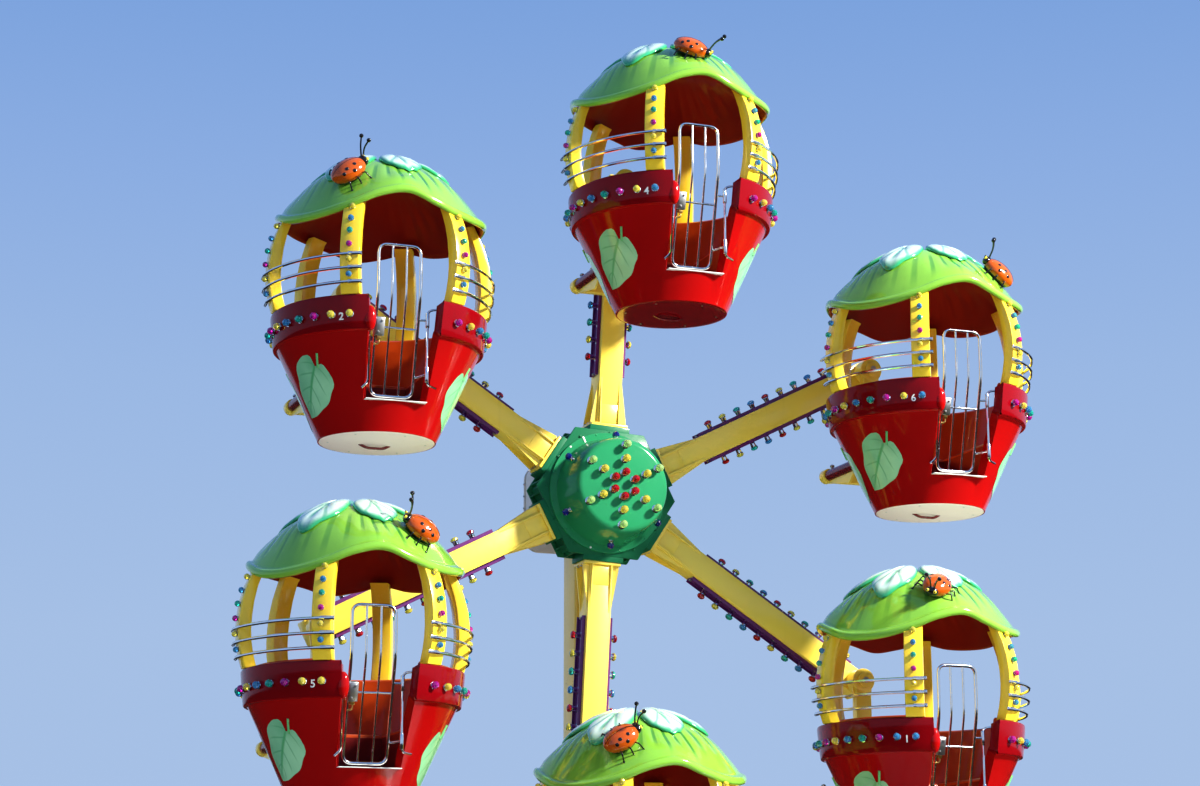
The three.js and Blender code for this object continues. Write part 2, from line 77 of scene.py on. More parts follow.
def makeCamera():
    lens = bpy.data.cameras.new("camera")
    lens.sensor_fit = "HORIZONTAL"
    lens.sensor_width = view["sensor"]
    lens.lens = view["focalPixels"] * view["sensor"] / view["imageWidth"]
    lens.clip_end = view["clipEnd"]
    camera = bpy.data.objects.new("camera", lens)
    scene.collection.objects.link(camera)
    camera.location = view["place"]
    camera.rotation_euler = (math.radians(90 + view["pitch"]), 0, -math.radians(view["yaw"]))
    scene.camera = camera


def addLight(name, place, size, power, colour, mirrored):
    lamp = bpy.data.lights.new(name, "AREA")
    lamp.shape = "ELLIPSE"
    lamp.size, lamp.size_y = size
    lamp.energy = power
    lamp.color = colour
    light = bpy.data.objects.new(name, lamp)
    scene.collection.objects.link(light)
    light.location = place
    light.visible_glossy = mirrored  # the soft lights leave no panes in the gloss
    toAim = Vector(studio["aim"]) - Vector(place)
    light.rotation_euler = toAim.to_track_quat("-Z", "Y").to_euler()


makeCamera()
for light in studio["lights"]:
    addLight(*light)


# Shader maths

class Wire:
    # one socket of a shader, so that maths reads as an expression
    def __init__(self, paint, socket):
        self.paint = paint
        self.socket = socket

    def maths(self, operation, *values, clamp=False):
        settings = {"operation": operation, "use_clamp": clamp}
        return self.paint.node("ShaderNodeMath", settings, dict(enumerate(values)))

    def __add__(self, other):
        return self.maths("ADD", self, other)

    def __radd__(self, other):
        return self.maths("ADD", other, self)

    def __sub__(self, other):
        return self.maths("SUBTRACT", self, other)

    def __rsub__(self, other):
        return self.maths("SUBTRACT", other, self)

    def __mul__(self, other):
        return self.maths("MULTIPLY", self, other)

    def __rmul__(self, other):
        return self.maths("MULTIPLY", other, self)

    def absolute(self):
        return self.maths("ABSOLUTE", self)

    def sine(self):
        return self.maths("SINE", self)

    def orMore(self, other):
        return self.maths("MAXIMUM", self, other)

    def clamped(self):
        return self.maths("ADD", self, 0.0, clamp=True)

    def step(self, low, high):
        # 0 below low, 1 above high, smooth between them
        limits = {"Value": self, "From Min": low, "From Max": high}
        return self.paint.node("ShaderNodeMapRange", {"interpolation_type": "SMOOTHSTEP"}, limits)


class Paint:
    # one material, with the nodes that its finish needs
    def __init__(self, name, colour, roughness=0.4, **fixed):
        self.material = bpy.data.materials.new(name)
        self.material.use_nodes = True
        self.tree = self.material.node_tree
        self.surface = self.tree.nodes["Principled BSDF"]
        self.material.diffuse_color = (*colour, 1)
        self.set("Base Color", (*colour, 1))
        self.set("Roughness", roughness)
        for socket, value in fixed.items():
            self.set(socket.replace("_", " "), value)

    def fill(self, socket, value):
        if isinstance(value, Wire):
            self.tree.links.new(value.socket, socket)
        else:
            socket.default_value = value

    def set(self, socket, value):
        self.fill(self.surface.inputs[socket], value)

    def node(self, kind, settings=None, inputs=None, output=0):
        node = self.tree.nodes.new(kind)
        for key, value in (settings or {}).items():
            setattr(node, key, value)
        for key, value in (inputs or {}).items():
            self.fill(node.inputs[key], value)
        return Wire(self, node.outputs[output])

    def place(self):
        return self.node("ShaderNodeTexCoord", output="Object")

    def axis(self, vector, letter):
        return self.node("ShaderNodeSeparateXYZ", None, {0: vector}, output=letter)

    def mapped(self, name):
        # across and along a part, from its own UV map
        place = self.node("ShaderNodeUVMap", {"uv_map": name})
        return self.axis(place, "X"), self.axis(place, "Y")

    def noise(self, scale, detail=3.0, roughness=0.5, stretch=None):
        vector = self.place()
        if stretch:
            vector = self.node("ShaderNodeVectorMath", {"operation": "MULTIPLY"}, {0: vector, 1: stretch})
        inputs = {"Vector": vector, "Scale": scale, "Detail": detail, "Roughness": roughness}
        return self.node("ShaderNodeTexNoise", None, inputs)

    def mix(self, amount, first, second):
        inputs = {0: amount}
        for key, value in ((6, first), (7, second)):
            inputs[key] = value if isinstance(value, Wire) else (*value[:3], 1)
        return self.node("ShaderNodeMix", {"data_type": "RGBA"}, inputs, output=2)

    def facingUp(self):
        return self.axis(self.node("ShaderNodeNewGeometry", output="Normal"), "Z")

    def bump(self, height, strength, distance):
        inputs = {"Height": height, "Strength": strength, "Distance": distance}
        self.set("Normal", self.node("ShaderNodeBump", None, inputs))


def shade(colour, factor):
    return tuple(min(1.0, c * factor) for c in colour)


# Finishes

# Weather that outdoor paint picks up: broad fading, rain streaks, dust on top
def weathered(
        name, colour, roughness=0.2, fade=0.12, streaks=0.22, dust=0.25, ripple=0.15, coat=0.6, shine=0.25):
    paint = Paint(name, colour, roughness, Coat_Weight=coat, Coat_Roughness=0.06, Specular_IOR_Level=shine)
    broad = paint.noise(1.7, 4.0)
    fine = paint.noise(46.0, 3.0, 0.6)
    rain = paint.noise(1.0, 4.0, 0.6, (24, 24, 1.3)).step(0.55, 0.82)
    faded = paint.mix(broad.step(0.35, 0.75) * fade, colour, shade(colour, 1.35))
    streaked = paint.mix(rain * streaks, faded, shade(colour, 0.45))
    settled = paint.facingUp().step(0.35, 1.0) * paint.noise(6.0, 5.0, 0.7).step(0.35, 0.75) * dust
    paint.set("Base Color", paint.mix(settled, streaked, (0.62, 0.58, 0.50)))
    paint.set("Roughness", (roughness + fine.step(0.4, 0.8) * 0.08 + settled * 0.5 + rain * 0.10).clamped())
    paint.bump(broad * 0.6 + fine * 0.06, ripple, 0.01)
    return paint.material


# Welded steel under thick paint: coarser ripple and small rust-brown chips
def steelPaint(name, colour, roughness=0.3, chips=0.66, coat=0.35, shine=0.5):
    rust, dust = (0.16, 0.06, 0.025), (0.50, 0.46, 0.38)
    paint = Paint(name, colour, roughness, Coat_Weight=coat, Coat_Roughness=0.12, Specular_IOR_Level=shine)
    broad = paint.noise(2.3, 4.0)
    fine = paint.noise(60.0, 3.0, 0.6)
    rain = paint.noise(1.0, 4.0, 0.6, (20, 20, 1.1)).step(0.56, 0.85)
    chipped = paint.noise(21.0, 6.0, 0.72).step(chips, chips + 0.03) * paint.noise(2.9, 2.0).step(0.52, 0.62)
    toned = paint.mix(broad.step(0.3, 0.8) * 0.16, colour, shade(colour, 0.72))
    streaked = paint.mix(rain * 0.20, toned, shade(colour, 0.4))
    settled = paint.facingUp().step(0.4, 1.0) * paint.noise(5.0, 5.0, 0.7).step(0.3, 0.8) * 0.35
    paint.set("Base Color", paint.mix(chipped, paint.mix(settled, streaked, dust), rust))
    paint.set("Roughness", (roughness + fine.step(0.4, 0.8) * 0.10 + settled * 0.4 + chipped * 0.4).clamped())
    paint.bump(broad * 0.5 + fine * 0.10 - chipped * 0.12, 0.2, 0.008)
    return paint.material


def bareMetal(name, colour, roughness, grain=0.12):
    paint = Paint(name, colour, roughness, Metallic=1.0)
    smear = paint.noise(9.0, 5.0, 0.65)
    scratch = paint.noise(1.0, 3.0, 0.5, (160, 160, 14))
    spot = paint.noise(70.0, 2.0).step(0.68, 0.74)
    paint.set("Base Color", paint.mix(spot * 0.35 + smear.step(0.5, 0.8) * 0.12, colour, (0.30, 0.24, 0.18)))
    paint.set("Roughness", (roughness + smear.step(0.4, 0.75) * 0.16 + scratch * 0.06 + spot * 0.3).clamped())
    paint.bump(scratch, grain, 0.0006)
    return paint.material


# A clear coloured lamp cap; its brighter flecks are painted glints on the facets
def lampCap(name, colour):
    paint = Paint(
        name, colour, 0.06, Coat_Weight=1.0, Coat_Roughness=0.03, Transmission_Weight=0.65, IOR=1.49)
    facetsAndGlints = paint.noise(170.0, 1.0)
    # brighter flecks: painted glints; the same noise also bumps the facets
    paint.set("Base Color", paint.mix(facetsAndGlints.step(0.35, 0.7) * 0.45, colour, shade(colour, 2.4)))
    paint.bump(facetsAndGlints, 0.25, 0.002)
    return paint.material


# A leaf with a middle rib, side veins and one half paler
def leafPrint(name, colour):
    paint = Paint(name, colour, 0.25, Coat_Weight=0.5, Coat_Roughness=0.08)
    across, along = paint.mapped("leaf")
    offRib = (across + (along * 3.0).sine() * 0.02).absolute()
    rib = 1 - offRib.step(0.012, 0.05)
    ripple = ((along + offRib * 0.55) * 26.0).sine()
    vein = ripple.step(0.86, 1.0) * (1 - offRib.step(0.25, 0.47))
    half = across.step(-0.05, 0.05)
    shadow = (0 - along).step(-0.30, 0.0) * 0.35 + along.step(0.72, 0.98) * 0.45
    pale, dark = (0.42, 0.74, 0.40), (0.22, 0.53, 0.27)
    tone = paint.mix(half * 0.45 + paint.noise(7.0, 3.0).step(0.3, 0.7) * 0.3, dark, pale)
    tone = paint.mix(shadow * (1 - offRib.step(0.10, 0.50) * 0.6), tone, (0.09, 0.34, 0.15))
    veined = paint.mix(vein * 0.55, tone, (0.10, 0.36, 0.15))
    paint.set("Base Color", paint.mix(rib * 0.85, veined, (0.08, 0.38, 0.13)))
    paint.set("Roughness", 0.22 + rib * 0.1)
    return paint.material


# Painted leaf skin: fine folds run down from the flower, with painted shade darkening their bottoms
def leafSkin(name, colour):
    paint = Paint(name, colour, 0.16, Coat_Weight=0.9, Coat_Roughness=0.05, Specular_IOR_Level=0.15)
    share, radius = paint.mapped("around")
    turns = share * math.tau
    drift = (turns * 5.0).sine() * 2.1
    fold = (turns * 34.0 + drift).sine()
    length = (turns * 13.0 + drift).sine() * 0.035
    reach = radius.step(0.33, 0.41) * (1 - (radius + length).step(0.48, 0.58))
    uneven = (turns * 3.0 + 1.0).sine() * 0.3 + 0.7
    # the fold bottoms: darkened in colour as painted shade, and deepened in the bump
    line = (0 - fold).step(0.30, 0.95) * reach * uneven
    broad = paint.noise(2.2, 4.0)
    fine = paint.noise(46.0, 3.0, 0.6)
    rain = paint.noise(1.0, 4.0, 0.6, (24, 24, 1.3)).step(0.55, 0.82)
    toned = paint.mix(broad.step(0.35, 0.7) * 0.35, colour, shade(colour, 1.35))
    shaded = paint.mix(line * 0.85, toned, (0.018, 0.16, 0.030))
    paint.set("Base Color", paint.mix(rain * 0.15, shaded, shade(colour, 0.4)))
    paint.set("Roughness", 0.14 + fine.step(0.4, 0.8) * 0.08 + rain * 0.1)
    paint.bump(broad * 0.6 + fine * 0.05 - line * 0.25, 0.18, 0.01)
    return paint.material


# White petal, airbrushed green round its rim and in its creases
def petalFinish(name, colour):
    paint = Paint(name, colour, 0.18, Coat_Weight=0.8, Coat_Roughness=0.06)
    across, along = paint.mapped("petal")
    cloud = paint.noise(11.0, 4.0) - 0.5
    offSide = across.absolute() + cloud * 0.12
    fromMiddle = along * 2 - 1
    rim = (across * across + fromMiddle * fromMiddle + cloud * 0.10).step(0.58, 0.97)
    crease = (1 - offSide.step(0.02, 0.11)) * along.step(0.10, 0.25) * (1 - along.step(0.78, 0.92))
    fork = (1 - (offSide - (along - 0.42) * 1.1).absolute().step(0.015, 0.085)) * along.step(0.44, 0.54)
    tone = paint.mix(rim, (0.62, 0.77, 0.66), (0.040, 0.37, 0.15))
    paint.set("Base Color", paint.mix(crease.orMore(fork * 0.8) * 0.75, tone, (0.035, 0.36, 0.20)))
    paint.set("Roughness", 0.16 + paint.noise(50.0, 3.0).step(0.4, 0.8) * 0.1)
    paint.bump(cloud, 0.2, 0.01)
    return paint.material


# Floor plate with raised lozenges
def treadPlate(name, colour):
    paint = Paint(name, colour, 0.42, Metallic=0.85)
    place = paint.place()
    x, y = paint.axis(place, "X"), paint.axis(place, "Y")
    raised = (((x + y) * 110.0).sine() * ((x - y) * 110.0).sine()).step(0.45, 0.75)
    grime = paint.noise(4.0, 6.0, 0.7).step(0.35, 0.75)
    paint.set("Base Color", paint.mix(grime * 0.5 * (1 - raised), colour, (0.10, 0.09, 0.08)))
    paint.set("Roughness", (0.5 - raised * 0.22 + grime * 0.2).clamped())
    paint.bump(raised, 0.7, 0.003)
    return paint.material


def rubber(name, colour):
    paint = Paint(name, colour, 0.75)
    grain = paint.noise(140.0, 3.0, 0.6)
    worn = paint.noise(5.0, 4.0).step(0.4, 0.75) * 0.5
    paint.set("Base Color", paint.mix(worn, colour, shade(colour, 2.6)))
    paint.set("Roughness", 0.70 + grain * 0.15)
    paint.bump(grain, 0.4, 0.001)
    return paint.material


finishes = {
    weathered: {  # colour, roughness, fade, streaks, dust, ripple, coat, shine
        "potRed": ((0.33, 0.004, 0.004), 0.12, 0.10, 0.10, 0.12, 0.10, 0.4, 0.1),
        "potLip": ((0.19, 0.002, 0.005), 0.12, 0.08, 0.10, 0.20, 0.10, 0.3, 0.1),
        "potInside": ((0.17, 0.006, 0.006), 0.35, 0.2, 0.2, 0.3, 0.15, 0.2),
        "cream": ((0.95, 0.76, 0.70), 0.35, 0.2, 0.1, 0.0, 0.15, 0.15),
        "stemGreen": ((0.15, 0.50, 0.17), 0.3, 0.12, 0.22, 0.1),
        "numeralWhite": ((0.80, 0.80, 0.74), 0.35, 0.05, 0.22, 0.1, 0.15, 0.2),
        "postYellow": ((0.86, 0.60, 0.040), 0.22, 0.15, 0.16, 0.15, 0.15, 0.7),
        "drumGreen": ((0.026, 0.236, 0.100), 0.16, 0.12, 0.12, 0.15, 0.15, 0.3, 0.1),
        "roofUnder": ((0.24, 0.013, 0.004), 0.34, 0.25, 0.1, 0.0, 0.3, 0.3),
        "beetleOrange": ((0.46, 0.082, 0.004), 0.14, 0.15, 0.05, 0.08, 0.15, 1.0),
        "beetleBlack": ((0.010, 0.009, 0.009), 0.15, 0.0, 0.0, 0.15, 0.15, 0.9),
        "eyeYellow": ((0.85, 0.65, 0.06), 0.2, 0.12, 0.22, 0.0),
        "benchOrange": ((0.46, 0.058, 0.006), 0.30, 0.2, 0.05, 0.12, 0.15, 0.4),
    },
    steelPaint: {  # colour, roughness, chips, coat, shine
        "armYellow": ((0.97, 0.715, 0.100), 0.28, 0.70),
        "mastYellow": ((0.76, 0.53, 0.08), 0.30, 0.64),
        # the hexagon's green is darker than the drum's same paint: painted shade for its shaded side
        "hubGreen": ((0.013, 0.155, 0.070), 0.42, 0.72, 0.06, 0.15),
        "baseGreen": ((0.012, 0.19, 0.065), 0.32, 0.62),
        "channelPurple": ((0.13, 0.021, 0.155), 0.28, 0.70),
        # the pots' red paint darkened: painted shade for the carrier tubes and the underside handle
        "tubeRed": ((0.17, 0.010, 0.016), 0.25, 0.68),
        "headGrey": ((0.56, 0.51, 0.45), 0.35, 0.68),
    },
    bareMetal: {  # colour, roughness, grain
        "chrome": ((0.86, 0.87, 0.88), 0.07),
        "zinc": ((0.62, 0.62, 0.60), 0.30, 0.3),
        "lockGrey": ((0.48, 0.50, 0.50), 0.36, 0.3),
        "brass": ((0.66, 0.42, 0.13), 0.28, 0.2),
    },
    lampCap: {
        "lampRed": ((0.62, 0.004, 0.012),),
        "lampYellow": ((1.0, 0.84, 0.10),),
        "lampBlue": ((0.060, 0.30, 0.62),),
        "lampTeal": ((0.020, 0.46, 0.34),),
        "lampMagenta": ((0.52, 0.012, 0.30),),
        "lampLime": ((0.58, 0.95, 0.28),),
        "lampNavy": ((0.010, 0.02, 0.28),),
    },
    leafPrint: {"leafPrint": ((0.35, 0.70, 0.36),)},
    leafSkin: {"roofGreen": ((0.215, 0.460, 0.052),)},
    petalFinish: {"petalPaint": ((0.80, 0.90, 0.84),)},
    treadPlate: {"treadPlate": ((0.50, 0.51, 0.52),)},
    rubber: {"rubberBlack": ((0.018, 0.018, 0.018),)},
}
paints = {name: kind(name, *values) for kind, table in finishes.items() for name, values in table.items()}
print("finishes:", len(paints))


# Shapes

def move(x=0.0, y=0.0, z=0.0):
    return Matrix.Translation((x, y, z))


def rotate(degrees, axis):
    return Matrix.Rotation(math.radians(degrees), 4, axis)


def outOf(place, direction):
    # puts a part that is drawn standing on +Z at a place, pointing in a direction
    turn = Vector((0, 0, 1)).rotation_difference(Vector(direction).normalized())
    return Matrix.Translation(place) @ turn.to_matrix().to_4x4()


def aroundZ(degrees, radius=0.0, height=0.0):
    # stands a part at an angle round a cabin; it is drawn at the front, facing -Y
    return rotate(degrees, "Z") @ move(0, -radius, height)


def circlePlaces(count, radius, first=0.0):
    # points spread evenly round a circle
    angles = [math.radians(first + 360 / count * i) for i in range(count)]
    return [(radius * math.cos(angle), radius * math.sin(angle)) for angle in angles]


def onSide(side, outline):
    # the outline for the left side (-1) or the right one (1)
    return [(side * x, z) for x, z in outline][::side]


def bevelEdges(bm, edges, offset, segments=2):
    bmesh.ops.bevel(
        bm, geom=edges, offset=offset, segments=segments, affect="EDGES", profile=0.5, material=-1)
    return bm


def lathe(profile, steps, start=0.0, angle=360.0):
    # profile is [radius, height] pairs, turned about Z; angle 0 is the front, -Y
    bm = bmesh.new()
    verts = [bm.verts.new(rotate(start, "Z") @ Vector((0, -radius, height))) for radius, height in profile]
    edges = [bm.edges.new(pair) for pair in zip(verts, verts[1:])]
    bmesh.ops.spin(
        bm, geom=verts + edges, cent=(0, 0, 0), axis=(0, 0, 1), dvec=(0, 0, 0),
        angle=math.radians(angle), steps=steps, use_merge=angle >= 360, use_duplicate=False)
    bmesh.ops.remove_doubles(bm, verts=bm.verts, dist=1e-5)
    bmesh.ops.recalc_face_normals(bm, faces=bm.faces)
    return bm


def block(low, high, round=0.0, segments=2):
    low, high = Vector(low), Vector(high)
    bm = bmesh.new()
    place = Matrix.Translation((low + high) / 2) @ Matrix.Diagonal((*(high - low), 1))
    bmesh.ops.create_cube(bm, size=1, matrix=place)
    return bevelEdges(bm, bm.edges[:], round, segments) if round else bm


def plate(outline, y0, y1, round=0.0, segments=1):
    # outline is [x, z] pairs, given its depth from y0 to y1
    bm = bmesh.new()
    face = bm.faces.new([bm.verts.new((x, y0, z)) for x, z in outline])
    made = bmesh.ops.extrude_face_region(bm, geom=[face])
    moved = [item for item in made["geom"] if isinstance(item, bmesh.types.BMVert)]
    bmesh.ops.translate(bm, verts=moved, vec=(0, y1 - y0, 0))
    bmesh.ops.recalc_face_normals(bm, faces=bm.faces)
    return bevelEdges(bm, bm.edges[:], round, segments) if round else bm


def rod(start, end, radius, sides=12, round=0.0):
    start, end = Vector(start), Vector(end)
    along = end - start
    bm = bmesh.new()
    place = Matrix.Translation((start + end) / 2) @ along.to_track_quat("Z", "Y").to_matrix().to_4x4()
    bmesh.ops.create_cone(
        bm, cap_ends=True, segments=sides, radius1=radius, radius2=radius, depth=along.length, matrix=place)
    if round:
        rims = [edge for edge in bm.edges if any(len(face.verts) > 4 for face in edge.link_faces)]
        bevelEdges(bm, rims, round)
    return bm


def filleted(points, radius, steps=5):
    # the same path with each inner corner rounded
    points = [Vector(point) for point in points]
    path = [points[0]]
    for before, corner, after in zip(points, points[1:], points[2:]):
        into, out = (before - corner).normalized(), (after - corner).normalized()
        reach = min(radius, (before - corner).length * 0.45, (after - corner).length * 0.45)
        for i in range(steps + 1):
            t = i / steps
            path.append(corner + into * reach * (1 - t) ** 2 + out * reach * t ** 2)
    return path + [points[-1]]


def tube(points, radius, sides=10):
    # a round bar that follows the points
    points = [Vector(point) for point in points]
    last = len(points) - 1
    tangents = [(points[min(i + 1, last)] - points[max(i - 1, 0)]).normalized() for i in range(last + 1)]
    turn = Vector((0, 0, 1)).rotation_difference(tangents[0])
    places = [Matrix.Translation(points[0]) @ turn.to_matrix().to_4x4()]
    for before, after, point in zip(tangents, tangents[1:], points[1:]):
        turn = before.rotation_difference(after) @ turn
        places.append(Matrix.Translation(point) @ turn.to_matrix().to_4x4())
    bm = bmesh.new()
    bmesh.ops.create_circle(bm, cap_ends=True, segments=sides, radius=radius, matrix=places[0])
    edges = bm.edges[:]
    for before, after in zip(places, places[1:]):
        made = bmesh.ops.extrude_edge_only(bm, edges=edges)["geom"]
        verts = [item for item in made if isinstance(item, bmesh.types.BMVert)]
        ring = set(verts)
        edges = [item for item in made
                 if isinstance(item, bmesh.types.BMEdge) and ring.issuperset(item.verts)]
        bmesh.ops.transform(bm, matrix=after @ before.inverted(), verts=verts)
    bmesh.ops.contextual_create(bm, geom=edges)
    bmesh.ops.recalc_face_normals(bm, faces=bm.faces)
    return bm


def ball(radius, place=(0, 0, 0), scale=(1, 1, 1), sides=(16, 10)):
    bm = bmesh.new()
    matrix = Matrix.Translation(place) @ Matrix.Diagonal((*scale, 1))
    bmesh.ops.create_uvsphere(bm, u_segments=sides[0], v_segments=sides[1], radius=radius, matrix=matrix)
    return bm


class Piece:
    # several bmesh parts that become one object; parts that name no paint get the piece's own
    def __init__(self, paint):
        self.bm = bmesh.new()
        self.paint = paint
        self.used = []

    def indexOf(self, paint):
        if paint not in self.used:
            self.used.append(paint)
        return self.used.index(paint)

    def add(self, part, paint=None, place=identity, smooth=True):
        index = self.indexOf(paint or self.paint)
        for face in part.faces:
            face.material_index = index
            face.smooth = smooth
        scratch = bpy.data.meshes.new("scratch")
        part.to_mesh(scratch)
        scratch.transform(place)
        if place.determinant() < 0:
            scratch.flip_normals()
        self.bm.from_mesh(scratch)
        bpy.data.meshes.remove(scratch)

    def paintWhere(self, paint, test):
        index = self.indexOf(paint)
        for face in self.bm.faces:
            if test(face):
                face.material_index = index

    def addBolts(self, width, places, out=(0, 0, 1), paint="zinc", base=identity):
        for place in places:
            stand = base @ outOf(place, out)
            self.add(rod((0, 0, 0), (0, 0, width * 0.12), width * 0.68, 12), paint, stand)
            self.add(rod((0, 0, 0), (0, 0, width * 0.55), width / 2, 6, width * 0.06), paint, stand)

    def addLamp(self, width, colour, place, stem=0.0, dome=1.0):
        # a faceted cap on a bright flared socket, standing on +Z; a dome under 1 is a flatter cap
        radius = width / 2
        cap = [(0, 1.44), (0.40, 1.36), (0.74, 1.10), (0.94, 0.70), (0.96, 0.32), (0.74, 0.0), (0, -0.04)]
        base = 0.34 * radius + stem
        cap = [(r * radius, base + h * dome * radius) for r, h in cap]
        self.add(lathe(cap, 10), colour, place, smooth=False)
        socket = [(0.62, base + 0.08 * radius), (0.94, base), (0.70, base - 0.20 * radius),
                  (0.58, 0.12 * radius), (1.0, 0.0), (0, 0)]
        self.add(lathe([(r * radius, height) for r, height in socket], 10), "chrome", place)

    def make(self, name, body, slot, node="", place=identity, bevel=0.0, sharp=32):
        # the finished object; node is the solid that it stands for
        if not bevel:
            for edge in self.bm.edges:
                if edge.is_manifold and edge.calc_face_angle(0) > math.radians(sharp):
                    edge.smooth = False
        mesh = bpy.data.meshes.new(name)
        self.bm.to_mesh(mesh)
        mesh.transform(place)
        for paint in self.used:
            mesh.materials.append(paints[paint])
        thing = bpy.data.objects.new(name, mesh)
        scene.collection.objects.link(thing)
        if bevel:
            softened = thing.modifiers.new("softened", "BEVEL")
            softened.width = bevel
            softened.segments = 2
            softened.limit_method = "ANGLE"
            softened.angle_limit = math.radians(sharp)
            softened.harden_normals = True
        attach(thing, body)
        if node:
            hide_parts(node)


# Sizes shared by the wheel and its cabins, in metres

wheel = {
    "hubHeight": 4.4,
    "pivotCircle": 2.12,
    "turn": -3.0,
    "armWidth": 0.160,
    "armDepth": 0.170,
    "hubCorner": 0.477,
    "hubDepth": 0.230,
}
cabin = {
    "reach": 0.98,
    "rimDrop": 0.376,
    "potHeight": 0.749,
    "bottomRadius": 0.351,
    "coneTop": 0.605,  # radius under the band
    "bandHeight": 0.200,
    "wall": 0.068,
    "sill": 0.577,  # below the rim
    "doorAtSill": 0.186,
    "doorAtRim": 0.226,
}
cabinNumbers = [4, 6, 1, 3, 5, 2]  # clockwise from the top, seen from the front


def wheelPlace(index):
    # the wheel's parts are drawn round the hub, with their arm pointing up
    return move(z=wheel["hubHeight"]) @ rotate(60 * index - wheel["turn"], "Y")


def pivot(index):
    angle = math.radians(90 + wheel["turn"] - 60 * index)
    reach = wheel["pivotCircle"]
    return Vector((reach * math.cos(angle), 0, wheel["hubHeight"] + reach * math.sin(angle)))


def hang(piece, index, name, slot, node="", body="cabin", height=0.0, **finish):
    # cabin parts are drawn round their own middle line, with height 0 at the pot's rim
    number = cabinNumbers[index]
    place = Matrix.Translation(pivot(index) + Vector((0, -cabin["reach"], height - cabin["rimDrop"])))
    if node:
        node = f"cabin_{number}_{node}"
    piece.make(f"{name}_{number}", f"{body}_{number}", slot, node, place, **finish)


# Pot

pot = {
    "steps": 90,
    "doorSteps": 10,
    "edgeRound": 0.007,
    "profile": [
        (0.351, -0.749), (0.3525, -0.742), (0.420, -0.600), (0.4305, -0.577), (0.520, -0.384),
        (0.6005, -0.212), (0.6045, -0.207), (0.6270, -0.205), (0.6305, -0.198), (0.6360, -0.150),
        (0.6440, -0.070), (0.6485, -0.020), (0.6475, -0.006), (0.6420, 0.0)],
    "floor": [(0, -0.679), (0.318, -0.679), (0.318, -0.700), (0, -0.700)],
    "lipLow": -0.206,
    "bump": ((-0.205, -0.578, -0.138), (0.034, 0.030, 0.076)),  # place and half sizes
}
underside = {
    "disc": [(0, -0.708), (0.330, -0.712), (0.3435, -0.7385), (0.3455, -0.7465), (0.3400, -0.7500),
             (0.3300, -0.7505), (0, -0.7505)],
    "handle": [
        (-0.095, 0.052, -0.745), (-0.05225, 0.040, -0.770), (0.05225, 0.040, -0.770), (0.095, 0.052, -0.745)],
    "handleCorner": 0.06,
    "handleRadius": 0.0085,
    "screws": 6,
    "screwCircle": 0.29,
    "screwRadius": 0.007,
    "red": 4,  # the cabin whose underside is painted like its rim
}
grabHandles = {
    "radius": 0.0070,
    "corner": 0.035,
    "paths": [
        [(-0.205, -0.418, -0.514), (-0.178, -0.450, -0.484), (-0.205, -0.560, -0.090),
         (-0.238, -0.560, -0.050)],
        [(0.222, -0.470, -0.498), (0.150, -0.528, -0.494), (0.150, -0.528, -0.050), (0.236, -0.548, -0.040)]],
}
leaf = {
    "width": 0.302,
    "height": 0.350,
    "top": -0.346,
    "proud": 0.0012,
    "stem": [(0.0, -0.040), (0.008, -0.008), (0.022, 0.038)],  # along the girth, above the leaf's top
    "stemRadius": 0.0080,
    "stemProud": 0.0005,
    "places": [(-57, -35), (60, 9), (118, -9), (-118, 9)],  # angle round the pot, lean
    "halfWidths": [
        0.0, 0.20, 0.39, 0.55, 0.68, 0.77, 0.84, 0.89, 0.93, 0.97, 0.995, 1.0, 0.985, 0.93, 0.83, 0.67, 0.42],
}
rimLamps = {
    "width": 0.046, "drop": 0.117, "radius": 0.6405, "spacing": 10, "from": 30, "lean": 86,
    "colours": ["lampMagenta", "lampTeal", "lampBlue", "lampYellow"],
    "rightOfNumber": {1: "lampBlue", 4: "lampBlue", 6: "lampBlue"},
    "leftOfNumber": {1: "lampBlue"},
}
numeral = {
    "height": 0.044, "capShare": 0.72, "angle": -34.8, "drop": 0.150, "radius": 0.6388, "lean": 95.7,
    "thickness": 0.0012,
}


def coneRadius(height):
    low, high = -cabin["potHeight"], -cabin["bandHeight"]
    return cabin["bottomRadius"] + (height - low) / (high - low) * (cabin["coneTop"] - cabin["bottomRadius"])


def doorHalf(height):
    share = (height + cabin["sill"]) / cabin["sill"]
    return cabin["doorAtSill"] + max(share, 0) * (cabin["doorAtRim"] - cabin["doorAtSill"])


def potWall():
    # turned wall; its columns are moved so that two of them follow the doorway's jambs
    bm = lathe(pot["profile"], pot["steps"])
    doorEdge = 360 / pot["steps"] * pot["doorSteps"] / 2
    for vert in bm.verts:
        x, y, height = vert.co
        radius = math.hypot(x, y)
        angle = math.degrees(math.atan2(x, -y))
        jamb = math.degrees(math.asin(min(0.99, doorHalf(height) / radius)))
        size = abs(angle)
        if size <= doorEdge + 1e-6:
            moved = size * jamb / doorEdge
        else:
            moved = jamb + (size - doorEdge) * (180 - jamb) / (180 - doorEdge)
        turned = math.radians(math.copysign(moved, angle))
        vert.co.x, vert.co.y = radius * math.sin(turned), -radius * math.cos(turned)
    opening = []
    for face in bm.faces:
        middle = face.calc_center_median()
        if middle.z > -cabin["sill"] and abs(middle.x) < doorHalf(middle.z) - 0.002 and middle.y < 0:
            opening.append(face)
    bmesh.ops.delete(bm, geom=opening, context="FACES")
    bmesh.ops.solidify(bm, geom=bm.faces[:], thickness=cabin["wall"])
    for vert in bm.verts:
        # the rim and the sill are cut level
        vert.co.z = min(vert.co.z, 0.0)
        inDoor = abs(vert.co.x) < doorHalf(vert.co.z) - 0.003 and vert.co.y < 0
        if inDoor and abs(vert.co.z + cabin["sill"]) < 0.05:
            vert.co.z = -cabin["sill"]
    bmesh.ops.recalc_face_normals(bm, faces=bm.faces)
    return bm


